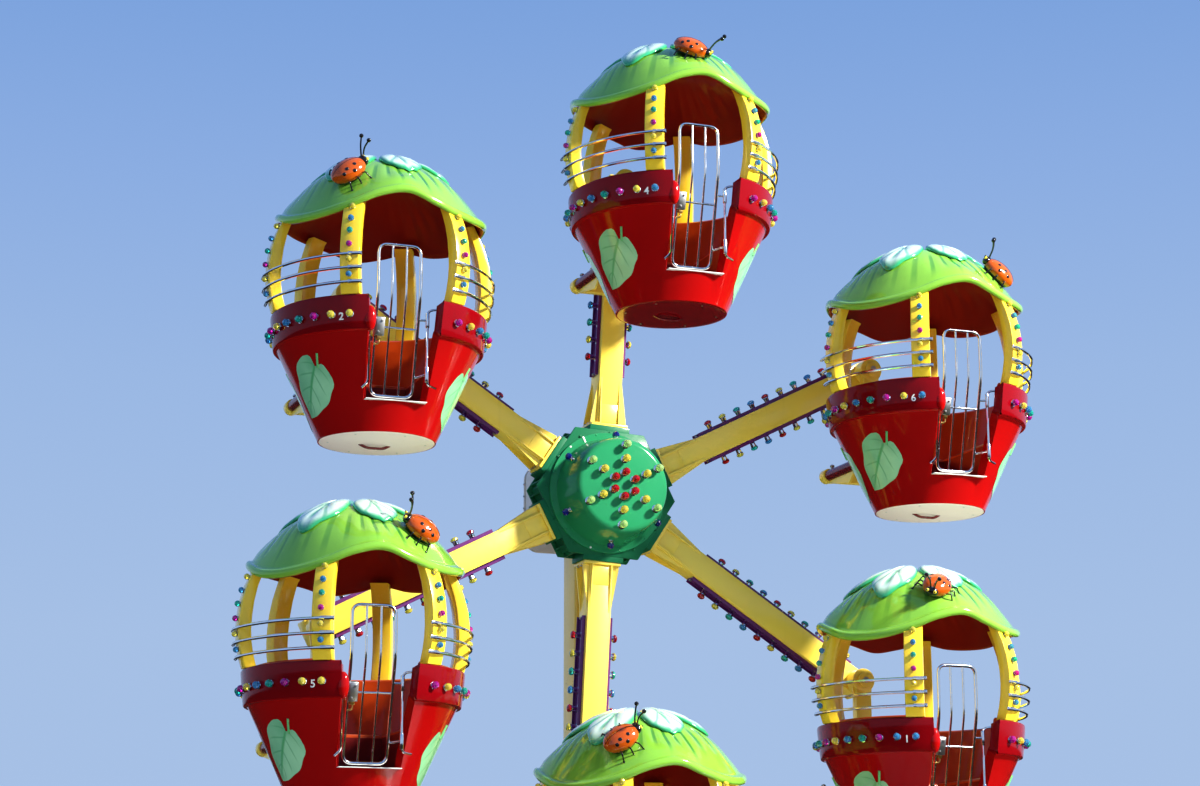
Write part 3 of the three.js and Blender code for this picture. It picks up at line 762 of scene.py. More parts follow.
def lookingOut(face):
    # 1 for a face that looks away from the pot's middle line, -1 for one that looks at it
    middle = face.calc_center_median()
    return face.normal.dot(Vector((middle.x, middle.y, 0)).normalized())


def onPot(along, height, proud=0.0, start=0.0):
    # a point on the cone, at a distance along its girth from the start angle
    radius = coneRadius(height) + proud
    angle = math.radians(start) + along / coneRadius(height)
    return Vector((radius * math.sin(angle), -radius * math.cos(angle), height))


def leafShape(start, lean):
    rows = len(leaf["halfWidths"]) - 1
    columns = 12
    bm = bmesh.new()
    bmesh.ops.create_grid(bm, x_segments=columns, y_segments=rows, size=0.5)
    layer = bm.loops.layers.uv.new("leaf")
    for face in bm.faces:
        for loop in face.loops:
            loop[layer].uv = (loop.vert.co.x, loop.vert.co.y + 0.5)
    tilt = math.radians(lean)
    for vert in bm.verts:
        across, along = vert.co.x * 2, vert.co.y + 0.5
        place = along * rows
        index = min(int(place), rows - 1)
        low, high = leaf["halfWidths"][index], leaf["halfWidths"][index + 1]
        half = (low + (high - low) * (place - index)) * leaf["width"] / 2
        notch = 0.035 * max(0.0, 1 - abs(across) * 1.6) * max(0.0, along - 0.8) / 0.2
        x = across * half + 0.006 * math.sin(along * 17) * abs(across)
        z = (along - 1) * leaf["height"] - notch
        turnedX = x * math.cos(tilt) - z * math.sin(tilt)
        turnedZ = x * math.sin(tilt) + z * math.cos(tilt)
        vert.co = onPot(turnedX, leaf["top"] + turnedZ, leaf["proud"], start)
    bmesh.ops.remove_doubles(bm, verts=bm.verts, dist=1e-5)
    outward = Vector((math.sin(math.radians(start)), -math.cos(math.radians(start)), 0))
    if sum((face.normal.dot(outward) for face in bm.faces), 0.0) < 0:
        bmesh.ops.reverse_faces(bm, faces=bm.faces)
    return bm


def addRimLamps(piece, number):
    count = int((360 - 2 * rimLamps["from"]) / rimLamps["spacing"]) + 1
    beside = [rimLamps["rightOfNumber"], rimLamps["leftOfNumber"]]
    for i in range(count):
        angle = -rimLamps["from"] - i * rimLamps["spacing"]
        colour = beside[i].get(number, "lampYellow") if i < 2 else rimLamps["colours"][(i - 2) % 4]
        stand = aroundZ(angle, rimLamps["radius"], -rimLamps["drop"]) @ rotate(rimLamps["lean"], "X")
        piece.addLamp(rimLamps["width"], colour, stand)


def numeralPart(number):
    text = bpy.data.curves.new("numeral", "FONT")
    text.body = str(number)
    text.size = numeral["height"] / numeral["capShare"]
    text.align_x = "CENTER"
    text.extrude = numeral["thickness"]
    text.offset = numeral["thickness"]
    thing = bpy.data.objects.new("numeral", text)
    mesh = bpy.data.meshes.new_from_object(thing)
    bm = bmesh.new()
    bm.from_mesh(mesh)
    bpy.data.objects.remove(thing)
    bpy.data.curves.remove(text)
    bpy.data.meshes.remove(mesh)
    return bm


def makePot(index):
    number = cabinNumbers[index]
    shell = Piece("potRed")
    shell.add(potWall())
    shell.paintWhere(
        "potLip", lambda face: face.calc_center_median().z > pot["lipLow"] and lookingOut(face) > -0.5)
    shell.paintWhere("potInside", lambda face: lookingOut(face) < -0.5)
    shell.add(lathe(pot["floor"], 48), "rubberBlack")
    shell.add(ball(1, *pot["bump"], sides=(20, 16)))
    hang(shell, index, "pot", "pot_red", "tub", bevel=pot["edgeRound"])

    trim = Piece("chrome")
    trim.add(lathe(underside["disc"], 72), "potLip" if number == underside["red"] else "cream")
    handle = filleted(underside["handle"], underside["handleCorner"])
    trim.add(tube(handle, underside["handleRadius"], 8), "tubeRed")
    for y, x in circlePlaces(underside["screws"], underside["screwCircle"], 20):
        place = outOf((x, -y, underside["disc"][-1][1]), (0, 0, -1))
        trim.add(ball(underside["screwRadius"], scale=(1, 1, 0.4), sides=(8, 6)), "zinc", place)
    half, sill = cabin["doorAtSill"] - 0.002, -cabin["sill"]
    sillY = -math.sqrt(coneRadius(sill) ** 2 - cabin["doorAtSill"] ** 2)
    doorstep = block((-half, sillY - 0.043, sill - 0.001), (half, sillY + 0.030, sill + 0.004), 0.0015)
    trim.add(doorstep, "numeralWhite")
    for path in grabHandles["paths"]:
        trim.add(tube(filleted(path, grabHandles["corner"]), grabHandles["radius"], 10))
    hang(trim, index, "potTrim", "chrome")

    prints = Piece("leafPrint")
    for start, lean in leaf["places"]:
        prints.add(leafShape(start, lean))
        top, proud = leaf["top"], leaf["stemProud"]
        stem = [onPot(along, top + height, proud, start) for along, height in leaf["stem"]]
        prints.add(tube(filleted(stem, 0.02), leaf["stemRadius"], 6), "stemGreen")
    facing = aroundZ(numeral["angle"], numeral["radius"], -numeral["drop"]) @ rotate(numeral["lean"], "X")
    prints.add(numeralPart(number), "numeralWhite", facing, smooth=False)
    hang(prints, index, "leafPrints", "leaf_green", sharp=80)

    lamps = Piece("chrome")
    addRimLamps(lamps, number)
    hang(lamps, index, "rimLamps", "chrome")


# Bench

bench = {
    "seat": -0.329, "edgeRound": 0.022, "wellHalfWidth": 0.240, "wellRear": 0.240,
    "profile": [(0, -0.677), (0.2975, -0.677), (0.4640, -0.329), (0, -0.329)],
    "back": [(0.474, -0.326), (0.570, -0.050), (0.5795, 0.010), (0.5740, 0.0195), (0.5590, 0.0215),
             (0.5480, 0.012), (0.5350, -0.060), (0.4560, -0.3235), (0.474, -0.326)],
    "backStart": 27,
    "backTurn": 306,
}


def seatBlock(cuts):
    # a slice of the ring of seats; each cut is a place and the way out of the slice
    part = lathe(bench["profile"], 72)
    for place, out in cuts:
        geometry = part.verts[:] + part.edges[:] + part.faces[:]
        made = bmesh.ops.bisect_plane(part, geom=geometry, plane_co=place, plane_no=out, clear_outer=True)
        edges = [item for item in made["geom_cut"] if isinstance(item, bmesh.types.BMEdge)]
        bmesh.ops.holes_fill(part, edges=edges, sides=0)
    bmesh.ops.recalc_face_normals(part, faces=part.faces)
    front = [edge for edge in part.edges if edge.is_manifold and edge.calc_face_angle(0) > 1.0
             and min(vert.co.z for vert in edge.verts) > bench["seat"] - 0.001]
    return bevelEdges(part, front, bench["edgeRound"], 4)


def makeBench(index):
    half, rear = bench["wellHalfWidth"], bench["wellRear"]
    piece = Piece("benchOrange")
    piece.add(seatBlock([((-half, 0, 0), (1, 0, 0))]))
    piece.add(seatBlock([((half, 0, 0), (-1, 0, 0))]))
    inside = half - 0.001
    cuts = [((0, rear, 0), (0, -1, 0)), ((inside, 0, 0), (1, 0, 0)), ((-inside, 0, 0), (-1, 0, 0))]
    piece.add(seatBlock(cuts))
    riserTop = bench["seat"] - bench["edgeRound"] - 0.004
    piece.paintWhere("potInside", lambda face: face.calc_center_median().z < riserTop)
    back = lathe(bench["back"], 64, bench["backStart"], bench["backTurn"])
    bmesh.ops.holes_fill(back, edges=[edge for edge in back.edges if edge.is_boundary], sides=40)
    bmesh.ops.recalc_face_normals(back, faces=back.faces)
    piece.add(back)
    hang(piece, index, "bench", "bench_orange", "bench")


# Posts and side rails

post = {
    "width": 0.115,
    "depth": 0.072,
    "taper": 0.25,
    "edgeRound": 0.007,
    "angles": [-150, -90, -30, 30, 90, 150],
    "face": [(0.650, 0.0), (0.672, 0.07), (0.6865, 0.15), (0.6915, 0.22), (0.6880, 0.30), (0.6750, 0.39),
             (0.6490, 0.48), (0.6190, 0.55), (0.5950, 0.60), (0.5720, 0.645)],
    "reach": 0.640,
    "rearReach": 0.597,
    "lamps": [(0.525, "lampYellow"), (0.447, "lampBlue"), (0.370, "lampTeal"), (0.286, "lampMagenta"),
              (0.198, "lampYellow"), (0.110, "lampBlue")],
    "lampWidth": 0.038,
    "rearBolts": [0.10, 0.30, 0.50],
    "boltWidth": 0.022,
}
rail = {
    "heights": [0.065, 0.146, 0.227], "radius": 0.0092, "first": 24, "last": 99, "slack": 0.020, "steps": 18,
    "tab": (0.042, 0.006, 0.012), "tabBolt": 0.028,
}


def smooth(value, low, high):
    t = min(1.0, max(0.0, (value - low) / (high - low)))
    return t * t * (3 - 2 * t)


def alongProfile(profile, value, by):
    # the two points of a profile that a value lies between, by radius (0) or height (1)
    for first, second in zip(profile, profile[1:]):
        if value <= second[by]:
            break
    return *first, *second


def alongPost(height):
    # outer radius of the posts, and the slope of their face there
    r0, z0, r1, z1 = alongProfile(post["face"], height, 1)
    return r0 + (height - z0) / (z1 - z0) * (r1 - r0), (r1 - r0) / (z1 - z0)


def postPart(angle):
    inner = []
    for radius, height in reversed(post["face"]):
        lean = math.atan(alongPost(max(height, 0.001))[1])
        depth = post["depth"] * (1 - post["taper"] * smooth(height, 0.3, 0.7))
        inner.append((radius - depth * math.cos(lean), height + depth * math.sin(lean) * 0.5))
    inner[-1] = (inner[-1][0], 0.0)
    half = post["width"] / 2
    part = plate(post["face"] + inner, -half, half)
    # the plate is drawn in X and Z with its face to +X; turned to face the front, -Y
    bmesh.ops.rotate(part, verts=part.verts, cent=(0, 0, 0), matrix=Matrix.Rotation(-math.pi / 2, 3, "Z"))
    bevelEdges(part, [edge for edge in part.edges if edge.calc_face_angle(0) > 0.6], post["edgeRound"])
    reach = post["rearReach"] if abs(angle) > 140 else post["reach"]
    for vert in part.verts:
        # the top follows the brim's lower edge, a little way into the roof's thickness
        if vert.co.z > 0.5:
            radius = math.hypot(vert.co.x, vert.co.y)
            turned = angle + math.degrees(math.atan2(vert.co.x, -vert.co.y))
            underRoof = roofOutside(radius, turned) + cabin["rimDrop"] - 0.012
            vert.co.z = min(vert.co.z, underRoof, reach + brimHeight(turned) - roof["brimMean"])
    return part


def makePosts(index):
    piece = Piece("postYellow")
    for angle in post["angles"]:
        piece.add(postPart(angle), place=aroundZ(angle))
        rear = abs(angle) > 140
        for height, colour in [(height, None) for height in post["rearBolts"]] if rear else post["lamps"]:
            radius, slope = alongPost(height)
            place, out = (0, 0.001 - radius, height), (0, -1, -slope)
            if colour:
                piece.addLamp(post["lampWidth"], colour, aroundZ(angle) @ outOf(place, out))
            else:
                piece.addBolts(post["boltWidth"], [place], out, base=aroundZ(angle))
    hang(piece, index, "posts", "frame_yellow", "posts")

    rails = Piece("chrome")
    first, last, thick = rail["first"], rail["last"], rail["radius"]
    long, deep, high = rail["tab"]
    for side in (-1, 1):
        for height in rail["heights"]:
            base = alongPost(height)[0] + thick + 0.003
            path = []
            for i in range(rail["steps"] + 1):
                angle = first + i / rail["steps"] * (last - first)
                between = math.sin(math.radians((angle - 30) * 3)) if 30 < angle < 90 else 0
                path.append(aroundZ(side * angle) @ Vector((0, rail["slack"] * between - base, height)))
            rails.add(tube(path, thick, 8))
            for angle in (first + 3, last - 4):
                stand = aroundZ(side * angle, base - 0.002, height)
                rails.add(block((-long, -deep, -high), (long, deep - 0.001, high), 0.004), place=stand)
                rails.addBolts(0.014, [(-side * rail["tabBolt"], -0.004, 0)], (0, -1, 0), "chrome", stand)
    hang(rails, index, "sideRails", "chrome")


# Roof

roof = {
    "steps": 144,
    "outside": [
        (0, 0.612), (0.06, 0.610), (0.13, 0.600), (0.20, 0.581), (0.27, 0.553), (0.33, 0.519), (0.39, 0.477),
        (0.44, 0.437), (0.485, 0.396), (0.525, 0.355), (0.557, 0.318), (0.578, 0.291), (0.590, 0.275),
        (0.600, 0.264), (0.610, 0.257), (0.621, 0.252), (0.632, 0.245), (0.639, 0.232), (0.640, 0.216),
        (0.634, 0.204), (0.622, 0.199)],
    "inside": [
        (0.611, 0.205), (0.603, 0.226), (0.590, 0.249), (0.567, 0.281), (0.535, 0.321), (0.495, 0.366),
        (0.44, 0.413), (0.36, 0.474), (0.24, 0.536), (0.12, 0.568), (0, 0.580)],
    "lipInner": 0.620,
    # lower edge of the brim above the pivot, every 15 degrees from the front towards +X
    "brimHeights": [
        0.250, 0.200, 0.163, 0.158, 0.175, 0.200, 0.200, 0.168, 0.165, 0.180, 0.218, 0.185,
        0.160, 0.195, 0.215, 0.225, 0.235, 0.225, 0.180, 0.130, 0.108, 0.118, 0.160, 0.222],
    "brimMean": 0.200,
    "folds": 34,
    "foldDepth": 0.0060,
    "groove": {"radius": 0.601, "width": 0.013, "depth": 0.013, "deepest": -70},
}
petal = {
    # angle round the roof, reach
    "places": [(7, 0.430), (67, 0.410), (127, 0.440), (-173, 0.450), (-113, 0.465), (-53, 0.485)],
    "inner": 0.020,
    "halfWidth": 0.160,
    "widest": 28.0,  # degrees to each side
    "thickness": 0.034,
    "lift": 0.002,
    "tipLift": 0.004,
    "groove": 0.015,
}
beetle = {
    "halfWidth": 0.089, "halfLength": 0.114, "halfHeight": 0.0625, "lift": 0.040,
    "places": [  # angle round the roof, radius, heading; clockwise from the top cabin
        (-4, 0.405, 62), (43, 0.485, -113), (-13, 0.470, -42), (-33, 0.480, 95), (33, 0.482, -97),
        (-38, 0.475, 100)],
    # place along the back, degrees down each flank
    "spots": [(0.30, 34), (0.08, 62), (-0.20, 36), (-0.48, 52)],
    "spotRadius": 0.0115,
    "seamRadius": 0.0016,
    "headRadius": 0.036,
    "eyeRadius": 0.0105,
    "pupilRadius": 0.0050,
    "feelerRadius": 0.0054,
    "feelerBall": 0.0135,
    "legs": [-0.045, 0.0, 0.048],
    "legRadius": 0.0046,
    "footRadius": 0.0068,
}


def brimHeight(degrees):
    values = roof["brimHeights"]
    place = (degrees % 360) / 15
    index = int(place)
    p0, p1, p2, p3 = (values[(index + i) % len(values)] for i in (-1, 0, 1, 2))
    t = place - index
    return 0.5 * (2 * p1 + (p2 - p0) * t + (2 * p0 - 5 * p1 + 4 * p2 - p3) * t ** 2
                  + (3 * p1 - p0 - 3 * p2 + p3) * t ** 3)


def roofHeight(radius, degrees, base):
    wave = smooth(radius, 0.43, 0.60) * (brimHeight(degrees) - roof["brimMean"])
    around = math.radians(degrees)
    fold = math.sin(roof["folds"] * around + 2.1 * math.sin(5 * around))
    uneven = 0.6 + 0.4 * math.sin(3 * around + 1)
    reach = smooth(radius, 0.36, 0.42) * (1 - smooth(radius, 0.47, 0.58))
    groove = roof["groove"]
    hollow = math.exp(-((radius - groove["radius"]) / groove["width"]) ** 2)
    depth = groove["depth"] * (0.55 + 0.45 * math.cos(around - math.radians(groove["deepest"])))
    return base + wave + roof["foldDepth"] * fold * uneven * reach - hollow * depth


def roofOutside(radius, degrees):
    r0, z0, r1, z1 = alongProfile(roof["outside"], radius, 0)
    return roofHeight(radius, degrees, z0 + (radius - r0) / (r1 - r0) * (z1 - z0))


def onRoof(degrees, radius, proud=0.0):
    # a point on the outside of the roof, above the pivot, and the way out of it
    def at(r, d):
        angle = math.radians(d)
        return Vector((r * math.sin(angle), -r * math.cos(angle), roofOutside(r, d)))

    down = at(radius + 0.02, degrees) - at(max(radius - 0.02, 0.001), degrees)
    aside = at(radius, degrees + 3) - at(radius, degrees - 3)
    out = down.cross(aside).normalized()
    if out.z < 0:
        out = -out
    return at(radius, degrees) + out * proud, out


def petalPart(turn, reach):
    # a puffy petal laid on the dome, its tip outwards
    bm = ball(1, sides=(36, 22))
    layer = bm.loops.layers.uv.new("petal")
    for face in bm.faces:
        for loop in face.loops:
            loop[layer].uv = (loop.vert.co.x, (1 - loop.vert.co.y) / 2)
    for vert in bm.verts:
        x, y, z = vert.co
        along = (1 - y) / 2
        radius = petal["inner"] + along * (reach - petal["inner"]) * (1 - 0.12 * x * x)
        width = (0.42 + 0.85 * smooth(along, 0.05, 0.75)) * (1 - 0.22 * smooth(along, 0.75, 1))
        top = max(0, z) ** 0.7
        crease = math.exp(-(x / 0.12) ** 2) * smooth(along, 0.12, 0.35)
        fork = math.exp(-((abs(x) - (along - 0.42) * 1.1) / 0.10) ** 2) * smooth(along, 0.45, 0.6)
        groove = petal["groove"] * max(crease, 0.7 * fork) * top
        proud = petal["lift"] + top * petal["thickness"] + min(0, z) * 0.010 - groove
        proud += petal["tipLift"] * smooth(along, 0.6, 1)
        halfAngle = min(math.degrees(petal["halfWidth"] * width / max(radius, 0.10)), petal["widest"])
        vert.co = onRoof(turn + x * halfAngle, radius, proud)[0]
    bmesh.ops.recalc_face_normals(bm, faces=bm.faces)
    return bm


def addBeetle(piece, place):
    # drawn with its head to -Y and its legs down to height 0
    lift = beetle["lift"]
    half = Vector((beetle["halfWidth"], beetle["halfLength"], beetle["halfHeight"]))
    piece.add(ball(1, (0, 0, lift), half, sides=(32, 20)), "beetleOrange", place)
    belly = ball(1, (0, 0, lift - 0.008), half * 0.965, sides=(24, 12))
    piece.add(belly, place=place @ Matrix.Diagonal((1, 1, 0.9, 1)))
    for along, tilt in [(along, side * tilt) for along, tilt in beetle["spots"] for side in (1, -1)]:
        angle = math.radians(tilt)
        flank = math.sqrt(1 - along ** 2)
        unit = Vector((flank * math.sin(angle), -along, flank * math.cos(angle)))
        point = unit * half + Vector((0, 0, lift))
        out = Vector((unit.x / half.x, unit.y / half.y, unit.z / half.z))
        spot = ball(beetle["spotRadius"], scale=(1, 1, 0.22), sides=(12, 8))
        piece.add(spot, place=place @ outOf(point, out))
    seam = [(0, half.y * math.cos(t) * -1.003, lift + half.z * math.sin(t) * 1.003)
            for t in [math.radians(12 + i * 12) for i in range(13)]]
    piece.add(tube(seam, beetle["seamRadius"], 6), place=place)
    brow = -half.y * 0.97
    piece.add(ball(beetle["headRadius"], (0, brow, lift + 0.004), (1.15, 0.75, 0.85), (18, 12)), place=place)
    for side in (-1, 1):
        eye = ball(beetle["eyeRadius"], (side * 0.024, brow - 0.019, lift + 0.015), sides=(12, 8))
        piece.add(eye, "eyeYellow", place)
        pupil = ball(beetle["pupilRadius"], (side * 0.026, brow - 0.0275, lift + 0.018), sides=(8, 6))
        piece.add(pupil, place=place)
        feeler = filleted([(side * 0.010, brow, lift + 0.022), (side * 0.020, -half.y * 1.20, lift + 0.090),
                           (side * 0.042, -half.y * 1.52, lift + 0.130)], 0.05)
        piece.add(tube(feeler, beetle["feelerRadius"], 6), place=place)
        piece.add(ball(beetle["feelerBall"], feeler[-1], sides=(12, 8)), place=place)
        for along in beetle["legs"]:
            leg = filleted([
                (side * half.x * 0.7, along, lift - 0.018),
                (side * (half.x + 0.022), along * 1.25, lift + 0.002),
                (side * (half.x + 0.042), along * 1.5, -0.004)], 0.012)
            piece.add(tube(leg, beetle["legRadius"], 6), place=place)
            piece.add(ball(beetle["footRadius"], leg[-1], (1.4, 1, 0.6), (8, 6)), place=place)


def makeRoof(index):
    dome = lathe(roof["outside"] + roof["inside"], roof["steps"])
    layer = dome.loops.layers.uv.new("around")
    for face in dome.faces:
        centre = face.calc_center_median()
        behind = math.atan2(centre.x, -centre.y) > 0
        for loop in face.loops:
            place = loop.vert.co
            turned = math.atan2(place.x, -place.y) / math.tau
            if behind and turned < -0.4:
                turned += 1
            loop[layer].uv = (turned, math.hypot(place.x, place.y))
    for vert in dome.verts:
        angle = math.degrees(math.atan2(vert.co.x, -vert.co.y))
        vert.co.z = roofHeight(math.hypot(vert.co.x, vert.co.y), angle, vert.co.z)
    piece = Piece("roofGreen")
    piece.add(dome)
    piece.paintWhere(
        "roofUnder",
        lambda face: face.normal.z < 0 and face.calc_center_median().xy.length < roof["lipInner"])
    hang(piece, index, "leafRoof", "leaf_green", "roof", height=cabin["rimDrop"], sharp=70)

    flower = Piece("petalPaint")
    for turn, reach in petal["places"]:
        flower.add(petalPart(turn, reach))
    hang(flower, index, "petals", "leaf_green", height=cabin["rimDrop"], sharp=60)

    insect = Piece("beetleBlack")
    turn, radius, heading = beetle["places"][index]
    addBeetle(insect, outOf(*onRoof(turn, radius)) @ rotate(heading, "Z"))
    hang(insect, index, "ladybug", "leaf_green", height=cabin["rimDrop"], sharp=60)


# Gate

gate = {
    "left": -0.156, "right": 0.098, "top": 0.322, "bottom": -0.552, "kink": 0.035, "middle": -0.165,
    "upperY": -0.553, "lowerY": -0.402, "frameRadius": 0.0098, "barRadius": 0.0066, "corner": 0.055,
    "hinge": (0.150, -0.528), "knuckles": [-0.434, -0.110], "knuckleHalf": 0.045, "knuckleRadius": 0.0115,
}
lock = {"top": -0.106, "height": 0.110, "width": 0.060, "besideBar": 0.022, "screwWidth": 0.012}


def gateY(height):
    if height >= gate["kink"]:
        return gate["upperY"]
    share = (gate["kink"] - height) / (gate["kink"] - gate["bottom"])
    return gate["upperY"] + share * (gate["lowerY"] - gate["upperY"])


def makeGate(index):
    def at(x, height):
        return (x, gateY(height), height)

    piece = Piece("chrome")
    left, right, thin = gate["left"], gate["right"], gate["barRadius"]
    bends = [gate["top"], gate["kink"], gate["bottom"]]
    start = at((left + right) / 2, gate["top"])
    path = [start, *(at(right, z) for z in bends), *(at(left, z) for z in reversed(bends)), start]
    piece.add(tube(filleted(path, gate["corner"], 6), gate["frameRadius"], 12))
    for share in (1 / 3, 2 / 3):
        x = left + (right - left) * share
        piece.add(tube(filleted([at(x, z) for z in bends], 0.05), thin, 10))
    piece.add(tube([at(left, gate["middle"]), at(right, gate["middle"])], thin, 10))
    x, y = gate["hinge"]
    half = gate["knuckleHalf"]
    for height in gate["knuckles"]:
        piece.add(rod((x, y, height - half), (x, y, height + half), gate["knuckleRadius"], 14, 0.002))
        link = [at(right, height), (right + 0.02, gateY(height) - 0.006, height), (x, y, height)]
        piece.add(tube(filleted(link, 0.02), thin, 10))
    # the lock sits beside the left frame bar, leaning with it, its catch underneath
    top, low = lock["top"], lock["top"] - lock["height"]
    lean = math.atan((gateY(low) - gateY(top)) / (top - low))
    place = move(*at(left + lock["besideBar"], (top + low) / 2)) @ Matrix.Rotation(lean, 4, "X")
    tall, wide = lock["height"] / 2, lock["width"] / 2
    piece.add(block((-wide, -0.024, -tall), (wide, 0.022, tall), 0.005), "lockGrey", place)
    cover = block((0.008 - wide, -0.0275, 0.010 - tall), (wide - 0.008, -0.023, tall - 0.010), 0.0015)
    piece.add(cover, "zinc", place)
    screws = [(0.010, -0.027, tall - 0.022), (-0.008, -0.027, 0.022 - tall)]
    piece.addBolts(lock["screwWidth"], screws, (0, -1, 0), base=place)
    piece.add(block((-0.012, -0.018, -tall - 0.020), (0.016, 0.012, -tall + 0.002), 0.003), "brass", place)
    catch = [(0.004, -0.004, -tall - 0.016), (0.006, -0.010, -tall - 0.046), (-0.024, -0.006, -tall - 0.052)]
    piece.add(tube(filleted(catch, 0.02), 0.006, 8), "brass", place)
    hang(piece, index, "gate", "chrome", "gate", body="gate", sharp=50)


# Hanger

hanger = {
    "drop": 0.757, "spread": 0.330, "tubeRadius": 0.0375, "bossRadius": 0.078, "bossDepth": 0.112,
    "pinRadius": 0.030, "gussetFront": -0.166, "gussetRear": -0.152, "collarRadius": 0.048,
    "stemHalf": 0.055, "stemDepth": (-0.190, -0.125), "barHalf": 0.040, "barDepth": (-0.188, -0.130),
    "gusset": [(0.050, 0.036), (0.190, 0.036), (0.050, 0.200)],  # above the bar's middle
    "shoulder": [(0.052, -0.060), (0.052, -0.190), (0.074, -0.020)],  # below the pin
    "greasePoint": -0.240,
}


def makeHanger(index):
    number = cabinNumbers[index]
    piece = Piece("armYellow")
    drop, spread = hanger["drop"], hanger["spread"]
    inner, outer, deep = hanger["pinRadius"] + 0.0015, hanger["bossRadius"], hanger["bossDepth"]
    ring = [(inner, 0), (outer - 0.004, 0), (outer, 0.004), (outer, deep - 0.004), (outer - 0.004, deep),
            (inner, deep), (inner, 0)]
    piece.add(lathe(ring, 32), place=move(y=-wheel["armDepth"] / 2 - 0.0005) @ rotate(90, "X"))
    wide, bar, (front, rear) = hanger["stemHalf"], hanger["barHalf"], hanger["stemDepth"]
    piece.add(block((-wide, front, -drop - bar), (wide, rear, -0.050), 0.006))
    front, rear = hanger["barDepth"]
    piece.add(block((-spread, front, -drop - bar), (spread, rear, -drop + bar), 0.006))
    gusset = [(x, z - drop) for x, z in hanger["gusset"]]
    wall = math.sqrt(coneRadius(cabin["rimDrop"] - drop) ** 2 - spread ** 2)  # the pot's, beside its middle
    end = -cabin["reach"] + wall - 0.012
    web = [(-0.150, -drop - 0.048), (-0.150, -drop - 0.012), (end - 0.02, -drop - 0.012),
           (end + 0.09, -drop - 0.105)]
    for side in (-1, 1):
        for outline in (gusset, hanger["shoulder"]):
            piece.add(plate(onSide(side, outline), hanger["gussetFront"], hanger["gussetRear"], 0.002))
        x = side * spread
        piece.add(rod((x, -0.128, -drop), (x, -0.200, -drop), hanger["collarRadius"], 28, 0.006))
        piece.add(rod((x, -0.122, -drop), (x, -0.130, -drop), 0.036, 24, 0.003), "zinc")
        piece.add(rod((x, -0.190, -drop), (x, end, -drop), hanger["tubeRadius"], 24), "tubeRed")
        y = hanger["greasePoint"]
        piece.add(rod((x, y, -drop + 0.020), (x, y, -drop + 0.052), 0.012, 12, 0.002), "zinc")
        piece.add(ball(0.016, (x, y, -drop + 0.056), (1, 1, 0.7), (12, 8)), "zinc")
        piece.add(plate(web, -0.006, 0.006, 0.0015), place=move(x) @ rotate(90, "Z"))
    body = f"cabin_{number}"
    piece.make(f"hanger_{number}", body, "frame_yellow", f"{body}_hanger", move(*pivot(index)))


# Arms

arm = {
    "foot": 0.4485,
    "tip": 2.182,
    "edgeRound": 0.006,
    "flangeWidth": 0.250,
    "flangeThickness": 0.020,
    "flangeBolts": [(x, y) for x in (-0.112, 0.112) for y in (-0.06, 0, 0.06)],
    "gussetLength": 0.345,
    "gussetThickness": 0.014,
    "channelWidth": 0.104,
    "channelDepth": 0.024,
    "channelWeb": 0.008,
    "channelLip": 0.006,
    "lampWidth": 0.055,
    "lampSpacing": 0.1180,
    "firstLamp": 0.125,
    "lampStem": 0.037,
    "lampDome": 0.62,
    "lampColours": ["lampRed", "lampYellow", "lampTeal", "lampBlue"],
    "pinLength": 0.118,
    "frontCap": (0.1165, 0.141, 0.049),  # inner and outer end in front of the arm, radius
    "rearCap": (0.012, 0.052),
}


